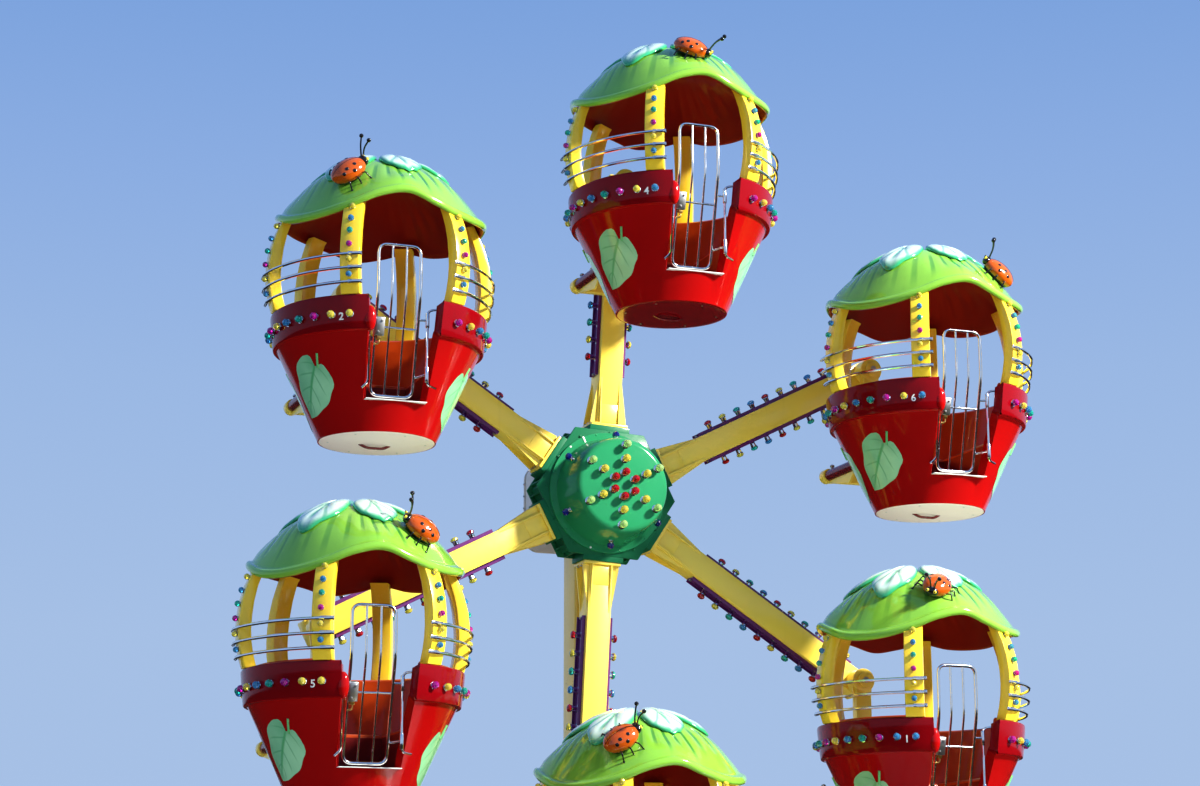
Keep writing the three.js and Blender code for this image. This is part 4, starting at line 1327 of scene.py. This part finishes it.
def armPiece():
    # drawn pointing up from the hub's middle
    piece = Piece("armYellow")
    half, deep, reach = wheel["armWidth"] / 2, wheel["armDepth"] / 2, wheel["pivotCircle"]
    foot, tip, thick = arm["foot"], arm["tip"], arm["flangeThickness"]
    piece.add(block((-half, -deep, foot + 0.01), (half, deep, tip), arm["edgeRound"]))
    wide = arm["flangeWidth"] / 2
    piece.add(block((-wide, -deep - 0.018, foot), (wide, deep + 0.018, foot + thick), 0.003))
    top = foot + arm["gussetLength"]
    web = [(half - 0.004, foot + 0.015), (wide - 0.002, foot + 0.015), (wide - 0.002, foot + 0.040),
           (half - 0.004, top)]
    rib = [(0, foot + 0.015), (0.017, foot + 0.015), (0.017, foot + 0.05), (0, top)]
    start, end = top + 0.008, reach - 0.090
    flat, edge = arm["channelWidth"] / 2, arm["channelLip"]
    lip, groove = half + arm["channelDepth"], half + arm["channelWeb"]
    channel = [(half - 0.001, -flat), (lip, -flat), (lip, -flat + edge), (groove, -flat + edge),
               (groove, flat - edge), (lip, flat - edge), (lip, flat), (half - 0.001, flat)]
    upright = Matrix(((1, 0, 0, 0), (0, 0, 1, 0), (0, 1, 0, 0), (0, 0, 0, 1)))
    count = int((end - start - arm["firstLamp"] - 0.02) / arm["lampSpacing"]) + 1
    for side in (-1, 1):
        for y in (-deep + 0.014, deep - 0.028):
            piece.add(plate(onSide(side, web), y, y + arm["gussetThickness"], 0.0015))
        for face in (-1, 1):
            # thin ribs that stand on the front and back faces beside the edges
            stand = move(side * (half - 0.016), face * (deep - 0.001)) @ rotate(face * 90, "Z")
            piece.add(plate(rib, -0.005, 0.005, 0.001), place=stand)
        piece.add(plate(onSide(side, channel), start, end, 0.001), "channelPurple", upright)
        for i in range(count):
            height = start + arm["firstLamp"] + i * arm["lampSpacing"]
            stand = outOf((side * groove, 0, height), (side, 0, 0))
            colour = arm["lampColours"][i % len(arm["lampColours"])]
            piece.addLamp(arm["lampWidth"], colour, stand, arm["lampStem"], arm["lampDome"])
        piece.addBolts(0.016, [(side * groove, 0.02, z) for z in (start + 0.012, end - 0.012)], (side, 0, 0))
    # a small plate at the foot of the front face
    wide, low, high = half - 0.020, foot + 0.026, foot + 0.150
    piece.add(block((-wide, -deep - 0.003, low), (wide, -deep + 0.001, high), 0.001))
    piece.addBolts(0.020, [(x, y, foot + thick) for x, y in arm["flangeBolts"]])
    pinEnd = (0, -deep - arm["pinLength"], reach)
    piece.add(rod((0, -deep + 0.005, reach), pinEnd, hanger["pinRadius"], 28), "zinc")
    near, far, radius = arm["frontCap"]
    piece.add(rod((0, -deep - near, reach), (0, -deep - far, reach), radius, 32, 0.004))
    piece.addBolts(0.030, [(0, -deep - far, reach)], (0, -1, 0))
    far, radius = arm["rearCap"]
    piece.add(rod((0, deep - 0.004, reach), (0, deep + far, reach), radius, 28, 0.003))
    piece.addBolts(0.034, [(0, deep + far, reach)], (0, 1, 0))
    half, deep = half - 0.008, deep - 0.008
    piece.add(block((-half, -deep, tip - 0.004), (half, deep, tip + 0.004), 0.002))
    return piece


# Hub

hub = {
    "plateThickness": 0.024,
    "waist": 0.028,  # how far the middle lies inside the plates' corners
    "seatHalf": 0.112,
    "ribPlace": 0.190,
    "shaftRadius": 0.0600,
    "shaftEnd": 0.890,
    "rearBoss": (0.1394, 0.120),  # rear face, radius
    "shaftNut": (0.8506, 0.884, 0.087),  # front and rear face, radius
    "shaftBolts": 0.092,
    "plateBolts": (0.408, 0.402),
    "drumProfile": [
        (0, 0.3060), (0.272, 0.3055), (0.292, 0.300), (0.305, 0.287), (0.312, 0.266), (0.330, 0.170),
        (0.344, 0.060), (0.352, 0.024), (0.362, 0.020), (0.394, 0.018), (0.397, 0.013), (0.397, 0.0),
        (0, 0.0)],
    "lampRings": [(0.079, "lampRed"), (0.167, "lampYellow"), (0.262, "lampLime")],
    "lampWidth": 0.055,
    "lampStem": 0.022,
    "sideLamp": {"width": 0.050, "radius": 0.3335, "height": 0.120, "stem": 0.010},
    "flangeScrews": 0.384,
    "markAngle": 118.8,
    "markRadius": 0.373,
}


def makeHub():
    front, corner, thick = wheel["hubDepth"] / 2, wheel["hubCorner"], hub["plateThickness"]
    # the hexagon's darker green is painted shade
    piece = Piece("hubGreen")
    piece.add(plate(circlePlaces(6, corner), -front, -front + thick, 0.003, 2))
    piece.add(plate(circlePlaces(6, corner), front - thick, front, 0.003, 2))
    piece.add(plate(circlePlaces(6, corner - hub["waist"]), -front + thick - 0.002, front - thick + 0.002))
    flat = corner * math.cos(math.pi / 6)
    half, seat = arm["flangeWidth"] / 2 + 0.012, hub["seatHalf"]
    for i in range(6):
        side = rotate(60 * i, "Y")
        piece.add(block((-half, -seat, flat - 0.030), (half, seat, arm["foot"]), 0.003), place=side)
        for x in (-hub["ribPlace"], hub["ribPlace"]):
            low, high = (x - 0.005, -front + 0.01, flat - 0.040), (x + 0.005, front - 0.01, flat - 0.002)
            piece.add(block(low, high, 0.001), place=side)
    end, radius = hub["rearBoss"]
    piece.add(rod((0, front - 0.004, 0), (0, end, 0), radius, 36))
    piece.add(rod((0, front, 0), (0, hub["shaftEnd"], 0), hub["shaftRadius"], 32, 0.004), "zinc")
    start, end, radius = hub["shaftNut"]
    piece.add(rod((0, start, 0), (0, end, 0), radius, 6, 0.004), "zinc")
    piece.addBolts(0.018, [(x, front, z) for x, z in circlePlaces(12, hub["shaftBolts"], 15)], (0, 1, 0))
    even, odd = (circlePlaces(12, radius) for radius in hub["plateBolts"])
    for i in range(12):
        x, z = (odd if i % 2 else even)[i]
        piece.addBolts(0.014, [(x, -front, z)], (0, -1, 0), "hubGreen")
    piece.make("hubBlock", "wheel", "hub_green", "hub", wheelPlace(0))

    drum = Piece("drumGreen")
    drum.add(lathe(hub["drumProfile"], 96), place=move(y=-front - 0.0003) @ rotate(90, "X"))
    face = -front - hub["drumProfile"][0][1]
    for radius, colour in hub["lampRings"]:
        for x, z in circlePlaces(6, radius, 90):
            drum.addLamp(hub["lampWidth"], colour, outOf((x, face, z), (0, -1, 0)), hub["lampStem"])
    lamp = hub["sideLamp"]
    for x, z in circlePlaces(6, 1, 90):
        out = Vector((x, 0, z))
        place = out * lamp["radius"] - Vector((0, front + lamp["height"], 0))
        drum.addLamp(lamp["width"], "lampNavy", outOf(place, out), lamp["stem"])
    for i, (x, z) in enumerate(circlePlaces(12, hub["flangeScrews"], 15)):
        screw = ball(0.008, scale=(1, 1, 0.45), sides=(10, 6))
        drum.add(screw, None if i % 4 else "numeralWhite", outOf((x, -front - 0.018, z), (0, -1, 0)))
    mark = rotate(90 - hub["markAngle"], "Y") @ move(0, -front - 0.019, hub["markRadius"])
    drum.add(block((-0.006, -0.0035, -0.026), (0.006, 0.004, 0.026), 0.001), "numeralWhite", mark)
    drum.make("hubDrum", "wheel", "hub_green", "hub_cap", wheelPlace(0), sharp=40)


print("hub")
makeHub()
armModel = armPiece()
for i in range(6):
    armModel.make(f"boxArm_{i + 1}", "wheel", "frame_yellow", f"arm_{i + 1}", wheelPlace(i))
print("arms")
for i in range(6):
    makePot(i)
    makeBench(i)
    makePosts(i)
    makeRoof(i)
    makeGate(i)
    makeHanger(i)
    print("cabin", cabinNumbers[i])


# Mast

mast = {
    "half": 0.120, "front": 0.160, "rear": 0.400, "foot": 0.2403, "top": 4.1497, "corner": 0.022,
    "plateHalf": 0.240, "plateThickness": 0.030,
    "plateBolts": [(0.195, 0.195), (0.195, 0.085), (0.195, -0.085)],
    "capLow": 4.110, "capHalf": 0.138, "finReach": 0.232, "finHeight": 0.490,
    "coverHalf": 0.078, "coverLow": 1.10, "coverHigh": 1.42,
    "conduitRadius": 0.013, "conduitPlace": (0.138, 0.345), "conduitLow": 0.44, "conduitHigh": 4.00,
    "clips": 8,
}
mastHead = {
    "half": 0.250, "low": 4.150, "high": 4.740, "front": 0.1405, "rear": 0.850, "corner": 0.100, "rim": 0.010,
    "bore": 0.0625, "bands": [(0.150, 0.174), (0.812, 0.838)], "bandProud": 0.005,
    "louvres": 7, "louvreLow": 4.340, "louvrePitch": 0.036, "louvreEnds": (0.350, 0.650),
    "slat": [(-0.001, 0.020), (0.016, -0.004), (0.016, -0.008), (-0.001, 0.012)],  # out, up
    "cover": [
        (0.098, 0), (0.175, 0), (0.175, 0.008), (0.171, 0.012), (0.102, 0.012), (0.098, 0.008), (0.098, 0)],
    "coverBolts": 0.138,
    "liftingEyes": [0.300, 0.690],
    "eyeFoot": [(0, 0), (0.034, 0), (0.034, 0.010), (0.014, 0.016), (0.012, 0.026), (0, 0.026)],
    "eyeRing": (0.026, 0.008),
}


def makeMast():
    piece = Piece("mastYellow")
    half, front, rear, foot, top = (mast[key] for key in ("half", "front", "rear", "foot", "top"))
    middle = (front + rear) / 2
    piece.add(block((-half, front, foot), (half, rear, top), mast["corner"], 4))
    cap = mast["capHalf"]
    piece.add(block((-cap, front + 0.002, mast["capLow"]), (cap, rear + 0.018, top), 0.004))
    wide, low = mast["plateHalf"], foot + mast["plateThickness"]
    piece.add(block((-wide, middle - wide, foot), (wide, middle + wide, low), 0.004))
    reach = mast["finReach"]
    fin = [(half - 0.004, low - 0.002), (reach, low - 0.002), (reach, low + 0.040),
           (half - 0.004, low + mast["finHeight"])]
    for i in range(4):
        quarter = move(y=middle) @ rotate(90 * i, "Z")
        piece.add(plate(fin, -0.008, 0.008, 0.002), place=quarter)
        piece.addBolts(0.034, [(x, y, low) for x, y in mast["plateBolts"]], base=quarter)
    wide, low, high = mast["coverHalf"], mast["coverLow"], mast["coverHigh"]
    piece.add(block((-wide, rear - 0.001, low), (wide, rear + 0.006, high), 0.002))
    piece.addBolts(0.013, [(x, rear + 0.006, z) for x in (-wide + 0.014, wide - 0.014)
                           for z in (low + 0.014, (low + high) / 2, high - 0.014)], (0, 1, 0))
    x, y = mast["conduitPlace"]
    low, high = mast["conduitLow"], mast["conduitHigh"]
    piece.add(rod((x, y, low), (x, y, high), mast["conduitRadius"], 16), "lockGrey")
    for i in range(mast["clips"]):
        z = low + (i + 0.5) * (high - low) / mast["clips"]
        clip = block((half - 0.002, y - 0.030, z - 0.011), (x + 0.016, y + 0.030, z + 0.011), 0.004)
        piece.add(clip, "zinc")
        piece.addBolts(0.009, [(x + 0.016, y + 0.022, z)], (1, 0, 0))
    for z in (low - 0.050, high + 0.040):
        box = block((half - 0.001, y - 0.050, z - 0.060), (half + 0.056, y + 0.050, z + 0.060), 0.006)
        piece.add(box, "lockGrey")
        lid = block((half + 0.055, y - 0.046, z - 0.056), (half + 0.062, y + 0.046, z + 0.056), 0.002)
        piece.add(lid, "lockGrey")
        screws = [(half + 0.062, y + dy, z + dz) for dy in (-0.036, 0.036) for dz in (-0.046, 0.046)]
        piece.addBolts(0.008, screws, (1, 0, 0))
    piece.make("mastPost", "base", "frame_yellow", "mast_column")


def roundedBox(low, high, corner, rim):
    # the edges along Y get the wide corners, both ends the narrow rim
    def length(edge):
        return abs(edge.verts[0].co.y - edge.verts[1].co.y)

    part = block(low, high)
    bevelEdges(part, [edge for edge in part.edges if length(edge) > 0.001], corner, 8)
    return bevelEdges(part, [edge for edge in part.edges if length(edge) < 0.001], rim, 3)


def boreThrough(part, radius, height):
    # a round hole along Y, from the front face to the rear one
    rings = []
    ends = [face for face in part.faces if abs(face.normal.y) > 0.99]
    for end in sorted(ends, key=lambda face: -face.calc_area())[:2]:
        rim, y = end.edges[:], end.calc_center_median().y
        bmesh.ops.delete(part, geom=[end], context="FACES_ONLY")
        place = move(0, y, height) @ rotate(90, "X")
        made = bmesh.ops.create_circle(part, cap_ends=False, segments=48, radius=radius, matrix=place)
        ring = set(made["verts"])
        edges = [edge for edge in part.edges if ring.issuperset(edge.verts)]
        bmesh.ops.bridge_loops(part, edges=rim + edges)
        rings += edges
    bmesh.ops.bridge_loops(part, edges=rings)
    bmesh.ops.recalc_face_normals(part, faces=part.faces)
    return part


def makeMastHead():
    piece = Piece("headGrey")
    half, low, high, front, rear = (mastHead[key] for key in ("half", "low", "high", "front", "rear"))
    height, proud = wheel["hubHeight"], mastHead["bandProud"]
    housing = roundedBox((-half, front, low), (half, rear, high), mastHead["corner"], mastHead["rim"])
    piece.add(boreThrough(housing, mastHead["bore"], height))
    outer = half + proud
    for start, end in mastHead["bands"]:
        corner = mastHead["corner"] + proud
        band = roundedBox((-outer, start, low - proud), (outer, end, high + proud), corner, 0.003)
        piece.add(boreThrough(band, mastHead["bore"] + 0.03, height))
        for i in range(5):
            z = low + 0.13 + i * (high - low - 0.26) / 4
            for side in (-1, 1):
                piece.addBolts(0.012, [(side * outer, (start + end) / 2, z)], (side, 0, 0))
    y0, y1 = mastHead["louvreEnds"]
    count, pitch, bottom = mastHead["louvres"], mastHead["louvrePitch"], mastHead["louvreLow"]
    top = bottom + count * pitch
    for side in (-1, 1):
        x0, x1 = sorted((side * (half - 0.002), side * (half + 0.001)))
        piece.add(block((x0, y0 - 0.002, bottom - 0.014), (x1, y1 + 0.002, top)), "rubberBlack")
        for i in range(count):
            slat = [(side * (half + x), bottom + i * pitch + z) for x, z in mastHead["slat"]]
            piece.add(plate(slat, y0, y1, 0.001))
        x0, x1 = sorted((side * (half - 0.001), side * (half + 0.010)))
        for z in (bottom - 0.018, top + 0.002):
            piece.add(block((x0, y0 - 0.014, z - 0.006), (x1, y1 + 0.014, z + 0.006), 0.002))
        for y in (y0 - 0.008, y1 + 0.008):
            piece.add(block((x0, y - 0.006, bottom - 0.020), (x1, y + 0.006, top + 0.004), 0.002))
    piece.add(lathe(mastHead["cover"], 48), "zinc", move(0, rear, height) @ rotate(-90, "X"))
    bolts = [(x, rear + 0.012, height + z) for x, z in circlePlaces(10, mastHead["coverBolts"])]
    piece.addBolts(0.018, bolts, (0, 1, 0))
    ring, thick = mastHead["eyeRing"]
    angles = [math.tau * i / 12 for i in range(13)]
    section = [(ring + thick * math.cos(angle), thick * math.sin(angle)) for angle in angles]
    for y in mastHead["liftingEyes"]:
        piece.add(lathe(mastHead["eyeFoot"], 24), "zinc", move(0, y, high))
        piece.add(lathe(section, 28), "zinc", move(0, y, high + 0.052) @ rotate(90, "X"))
    piece.make("bearingHousing", "base", "warm_grey", "mast_head")


# Base frame

baseFrame = {
    "beamX": 1.400, "beamHalf": 0.080, "low": 0.040, "high": 0.240, "front": -2.900, "rear": 1.100,
    "padRadius": 0.130, "padPlaces": [-2.48, -0.80, 0.70],
    # name, with the middle and the half depth
    "crossBeams": {"front": (-2.750, 0.100), "mast": (0.200, 0.350), "rear": (0.980, 0.100)},
    "crossEnd": 1.3197, "lashingEyes": [-2.30, -0.20], "eyeHeight": 0.14, "lids": [-0.62, 0.62],
}


def fourCorners(x, y, z, dx, dy):
    return [(x + i * dx, y + j * dy, z) for i in (-1, 1) for j in (-1, 1)]


def sideName(side):
    return "left" if side < 0 else "right"


def addPad(piece, x, y, radius):
    sole = [(0, 0), (radius - 0.003, 0), (radius, 0.003), (radius, 0.013), (radius - 0.004, 0.017),
            (0, 0.017)]
    piece.add(lathe(sole, 40), "rubberBlack", move(x, y))
    dish = [(0, 0.016), (radius - 0.014, 0.016), (radius - 0.014, 0.023), (radius * 0.5, 0.033),
            (radius * 0.42, 0.046), (0, 0.046)]
    piece.add(lathe(dish, 40), "zinc", move(x, y))


def makeBaseBeam(side):
    piece = Piece("baseGreen")
    x, half = side * baseFrame["beamX"], baseFrame["beamHalf"]
    low, high, front, rear = (baseFrame[key] for key in ("low", "high", "front", "rear"))
    piece.add(block((x - half, front + 0.006, low), (x + half, rear - 0.006, high), 0.010, 3))
    for y0, y1 in ((front, front + 0.010), (rear - 0.010, rear)):
        piece.add(block((x - half - 0.004, y0, low - 0.004), (x + half + 0.004, y1, high + 0.002), 0.002))
    for y in baseFrame["padPlaces"]:
        addPad(piece, x, y, baseFrame["padRadius"])
    outside = side * (baseFrame["beamX"] + half)
    for middle, deep in baseFrame["crossBeams"].values():
        bolts = [(outside, y, z) for y in (middle - deep + 0.035, middle + deep - 0.035)
                 for z in (low + 0.045, high - 0.045)]
        piece.addBolts(0.028, bolts, (side, 0, 0))
    inner, outer, z = outside - side * 0.01, outside + side * 0.045, baseFrame["eyeHeight"]
    for y in baseFrame["lashingEyes"]:
        path = [(inner, y - 0.045, z), (outer, y - 0.045, z), (outer, y + 0.045, z), (inner, y + 0.045, z)]
        piece.add(tube(filleted(path, 0.03), 0.009, 10))
    piece.make(f"sideBeam_{sideName(side)}", "base", "hub_green", f"base_beam_{sideName(side)}")


def makeCrossBeam(name, middle, deep):
    piece = Piece("baseGreen")
    low, high, end = baseFrame["low"], baseFrame["high"], baseFrame["crossEnd"]
    piece.add(block((-end + 0.002, middle - deep, low), (end - 0.002, middle + deep, high), 0.010, 3))
    for side in (-1, 1):
        x0, x1 = sorted((side * (end - 0.014), side * end))
        y0, y1 = middle - deep - 0.034, middle + deep + 0.016
        piece.add(block((x0, y0, low + 0.004), (x1, y1, high - 0.004), 0.002))
        bolts = [(side * (end - 0.014), middle - deep - 0.018, z) for z in (low + 0.045, high - 0.045)]
        piece.addBolts(0.022, bolts, (-side, 0, 0))
    radius = min(baseFrame["padRadius"], deep - 0.010)
    addPad(piece, 0, middle - deep + radius + 0.020, radius)
    for x in baseFrame["lids"] if name == "mast" else []:
        lid = block((x - 0.26, middle - 0.20, high - 0.001), (x + 0.26, middle + 0.20, high + 0.004), 0.0015)
        piece.add(lid, "treadPlate")
        piece.addBolts(0.012, fourCorners(x, middle, high + 0.004, 0.23, 0.17))
    piece.make(f"crossBeam_{name}", "base", "hub_green", f"base_cross_{name}")


# Loading deck

trestle = {
    "x": 1.400, "half": 0.045, "legs": [-2.810, -1.700, -0.540], "foot": 0.2403,
    "railLow": 0.7997, "railHigh": 0.9197, "front": -2.880, "rear": -0.440,
    "plateHalf": 0.075, "footBolts": 0.060, "jointBolts": [-0.060, -0.015, 0.045, 0.085],
}
deck = {
    "half": 1.500, "front": -2.900, "rear": -0.420, "low": 0.920, "high": 0.980, "sheet": 0.006,
    "seam": 0.0025, "columns": 3, "rows": 3, "edge": 0.060, "screwSpacing": 0.20, "screwEdge": 0.028,
    "screwRadius": 0.009, "nosing": 0.585, "joists": 6, "bearer": 0.5,
}
stair = {
    "half": 0.600, "stringer": 0.012, "treads": 4, "rise": 0.196, "firstFront": -4.060, "going": 0.290,
    "depth": 0.270, "thickness": 0.045, "nosing": 0.032, "flange": 0.036,
    "footBolts": [-4.05, -3.845], "bracketBolts": [0.715, 0.885],
    "bracket": (-2.914, -2.9005, 0.690, 0.910),  # front, rear, low, high
    "side": [(-4.090, 0.0), (-3.800, 0.0), (-2.9003, 0.650), (-2.9003, 0.970), (-4.090, 0.236)],
}
guard = {
    "x": 1.440, "front": -2.840, "rear": -1.950, "inner": 0.640, "foot": 0.9803,
    "top": 0.929, "bars": [0.190, 0.5225],  # above the foot
    "tubeRadius": 0.021, "barRadius": 0.015, "bend": 0.090, "cornerBend": 0.030,
    "plateHalf": 0.060, "plateThickness": 0.010, "plateBolts": 0.043,
    "weld": [(0.019, 0), (0.030, 0), (0.026, 0.006), (0.019, 0.009), (0.019, 0)],
}


def makeTrestle(side):
    piece = Piece("baseGreen")
    x, half, foot, wide = side * trestle["x"], trestle["half"], trestle["foot"], trestle["plateHalf"]
    front, rear, low, high = (trestle[key] for key in ("front", "rear", "railLow", "railHigh"))
    piece.add(block((x - half, front + 0.004, low), (x + half, rear - 0.004, high), 0.007))
    for y0, y1 in ((front, front + 0.006), (rear - 0.006, rear)):
        cap = block((x - half + 0.004, y0, low + 0.004), (x + half - 0.004, y1, high - 0.004), 0.002)
        piece.add(cap, "rubberBlack")
    outside = side * (trestle["x"] + half)
    x0, x1 = sorted((outside - side * 0.001, outside + side * 0.008))
    for y in trestle["legs"]:
        piece.add(block((x - half, y - half, foot + 0.008), (x + half, y + half, low + 0.004), 0.007))
        piece.add(block((x - wide, y - wide, foot), (x + wide, y + wide, foot + 0.012), 0.002))
        piece.addBolts(0.018, fourCorners(x, y, foot + 0.012, trestle["footBolts"], trestle["footBolts"]))
        start, end = max(front + 0.004, y - wide), min(rear - 0.004, y + wide)
        piece.add(block((x0, start, low - 0.085), (x1, end, high - 0.014), 0.002))
        bolts = [(outside + side * 0.008, y + dy, low + z)
                 for dy in (-0.028, 0.028) for z in trestle["jointBolts"]]
        piece.addBolts(0.014, bolts, (side, 0, 0))
    piece.make(f"deckTrestle_{sideName(side)}", "base", "hub_green", f"deck_trestle_{sideName(side)}")


def makeDeck():
    piece = Piece("baseGreen")
    half, edge = deck["half"], deck["edge"]
    front, rear, low, high = (deck[key] for key in ("front", "rear", "low", "high"))
    under, seam, inset = high - deck["sheet"], deck["seam"], deck["screwEdge"]
    for y0, y1 in ((front, front + edge), (rear - edge, rear)):
        piece.add(block((-half, y0, low), (half, y1, under + 0.001), 0.004))
    for side in (-1, 1):
        x0, x1 = sorted((side * (half - edge), side * half))
        piece.add(block((x0, front, low), (x1, rear, under + 0.001), 0.004))
        x = side * deck["bearer"]
        piece.add(block((x - 0.030, front + edge, low + 0.002), (x + 0.030, rear - edge, under), 0.003))
    for i in range(1, deck["joists"]):
        y = front + i * (rear - front) / deck["joists"]
        piece.add(block((-half + edge, y - 0.022, low + 0.004), (half - edge, y + 0.022, under), 0.003))
    wide, deep = 2 * (half - 0.003) / deck["columns"], (rear - front - 0.006) / deck["rows"]
    across, along = round(wide / deck["screwSpacing"]), round(deep / deck["screwSpacing"])
    for column in range(deck["columns"]):
        for row in range(deck["rows"]):
            x0, y0 = -half + 0.003 + column * wide + seam, front + 0.003 + row * deep + seam
            x1, y1 = x0 + wide - 2 * seam, y0 + deep - 2 * seam
            piece.add(block((x0, y0, under), (x1, y1, high), 0.0012, 1), "treadPlate")
            spots = [(x0 + inset + i * (x1 - x0 - 2 * inset) / across, y) for i in range(across + 1)
                     for y in (y0 + inset, y1 - inset)]
            spots += [(x, y0 + inset + i * (y1 - y0 - 2 * inset) / along) for i in range(1, along)
                      for x in (x0 + inset, x1 - inset)]
            for x, y in spots:
                piece.add(ball(deck["screwRadius"], (x, y, high), (1, 1, 0.22), (8, 6)), "zinc")
    wide = deck["nosing"]
    nosing = block((-wide, front - 0.003, high - 0.034), (wide, front + 0.046, high + 0.002), 0.002)
    piece.add(nosing, "postYellow")
    piece.make("loadingDeck", "base", "deck_steel", "deck_plate")


def makeStairs():
    piece = Piece("baseGreen")
    half, thin, outline = stair["half"], stair["stringer"], stair["side"]
    foot, heel, under, top, nose = outline
    flanges = [
        [nose, top, (top[0], top[1] - 0.010), (nose[0], nose[1] - 0.010)],
        [heel, under, (under[0], under[1] + 0.010), (heel[0] - 0.014, heel[1])]]
    for side in (-1, 1):
        x = side * half
        stand = move(x) @ rotate(90, "Z")
        piece.add(plate(outline, -thin, thin, 0.003), place=stand)
        y0, y1 = sorted((-side * thin, side * stair["flange"]))
        for flange in flanges:
            piece.add(plate(flange, y0, y1, 0.002), place=stand)
        piece.add(block((x - 0.045, foot[0] + 0.002, 0), (x + 0.045, heel[0] - 0.005, 0.010), 0.002), "zinc")
        piece.addBolts(0.018, [(side * (half + 0.030), y, 0.010) for y in stair["footBolts"]])
        y0, y1, low, high = stair["bracket"]
        piece.add(block((x - 0.040, y0, low), (x + 0.040, y1, high), 0.002), "zinc")
        piece.addBolts(0.018, [(side * (half - 0.026), y0, z) for z in stair["bracketBolts"]], (0, -1, 0))
    wide = half - thin + 0.001
    for i in range(stair["treads"]):
        top, front = stair["rise"] * (i + 1), stair["firstFront"] + stair["going"] * i
        rear = front + stair["depth"]
        piece.add(block((-wide, front, top - stair["thickness"]), (wide, rear, top - 0.003), 0.003))
        tread = block((-wide + 0.002, front + 0.030, top - 0.004), (wide - 0.002, rear - 0.003, top), 0.001)
        piece.add(tread, "treadPlate")
        nosing = block((-wide + 0.001, front - 0.003, top - 0.030),
                       (wide - 0.001, front + stair["nosing"], top + 0.0012), 0.003)
        piece.add(nosing, "postYellow")
        for side in (-1, 1):
            bolts = [(side * (half + thin), y, top - 0.022) for y in (front + 0.070, rear - 0.070)]
            piece.addBolts(0.018, bolts, (side, 0, 0))
    piece.make("frontSteps", "base", "deck_steel", "front_steps")


def makeGuardRail(side):
    piece = Piece("postYellow")
    x, inner = side * guard["x"], side * guard["inner"]
    front, rear, foot, radius = (guard[key] for key in ("front", "rear", "foot", "tubeRadius"))
    low, top = foot + 0.006, foot + guard["top"]
    start, end = (x, front + 0.1, top), (x - side * 0.1, front, top)  # where the corner's own piece is joined
    near = filleted([(x, rear, low), (x, rear, top), start], guard["bend"], 8)
    corner = filleted([start, (x, front, top), end], guard["cornerBend"], 5)
    far = filleted([end, (inner, front, top), (inner, front, low)], guard["bend"], 8)
    piece.add(tube(near + corner[1:-1] + far, radius, 16))
    piece.add(rod((x, front, low), (x, front, top - 0.004), radius, 16))
    for height in guard["bars"]:
        for start, end in (((x, rear), (x, front)), ((x, front), (inner, front))):
            piece.add(rod((*start, foot + height), (*end, foot + height), guard["barRadius"], 14))
    wide, thick = guard["plateHalf"], guard["plateThickness"]
    for px, py in ((x, rear), (x, front), (inner, front)):
        piece.add(block((px - wide, py - wide, foot), (px + wide, py + wide, foot + thick), 0.002))
        piece.add(lathe(guard["weld"], 20), place=move(px, py, foot + thick - 0.001))
        piece.addBolts(0.016, fourCorners(px, py, foot + thick, guard["plateBolts"], guard["plateBolts"]))
    piece.make(f"guardRail_{sideName(side)}", "base", "frame_yellow", f"guard_rail_{sideName(side)}")


print("mast and base")
makeMast()
makeMastHead()
for side in (-1, 1):
    makeBaseBeam(side)
    makeTrestle(side)
    makeGuardRail(side)
for name, (middle, deep) in baseFrame["crossBeams"].items():
    makeCrossBeam(name, middle, deep)
makeDeck()
makeStairs()


# Floor and sky

def makeFloor():
    bm = bmesh.new()
    bmesh.ops.create_grid(bm, x_segments=2, y_segments=2, size=studio["floorSize"] / 2)
    mesh = bpy.data.meshes.new("studioFloor")
    bm.to_mesh(mesh)
    floor = bpy.data.objects.new("studioFloor", mesh)
    floor.location.z = -studio["floorDrop"]
    scene.collection.objects.link(floor)
    floor.visible_glossy = False  # keeps the floor's veil out of the gloss
    mesh.materials.append(Paint("studioFloor", studio["floorColour"], studio["floorRoughness"]).material)


def makeSky():
    # sky above the floor's far edge, dark ground below it
    world = bpy.data.worlds.new("studio")
    world.use_nodes = True
    nodes, links = world.node_tree.nodes, world.node_tree.links
    background = nodes["Background"]
    background.inputs["Strength"].default_value = studio["worldStrength"]
    place = nodes.new("ShaderNodeTexCoord")
    split = nodes.new("ShaderNodeSeparateXYZ")
    lift = nodes.new("ShaderNodeMath")  # brings the ground's height to 0
    lift.inputs[1].default_value = -studio["groundHeight"]
    ramp = nodes.new("ShaderNodeValToRGB")
    stops = ramp.color_ramp.elements
    stops[0].position, stops[0].color = 0.0, (*studio["groundColour"], 1)
    stops.remove(stops[1])
    for height, colour in studio["sky"]:
        stops.new(height - studio["groundHeight"]).color = (*colour, 1)
    links.new(place.outputs["Generated"], split.inputs[0])
    links.new(split.outputs["Z"], lift.inputs[0])
    links.new(lift.outputs[0], ramp.inputs[0])
    links.new(ramp.outputs[0], background.inputs["Color"])
    scene.world = world


makeFloor()
makeSky()
print("studio")
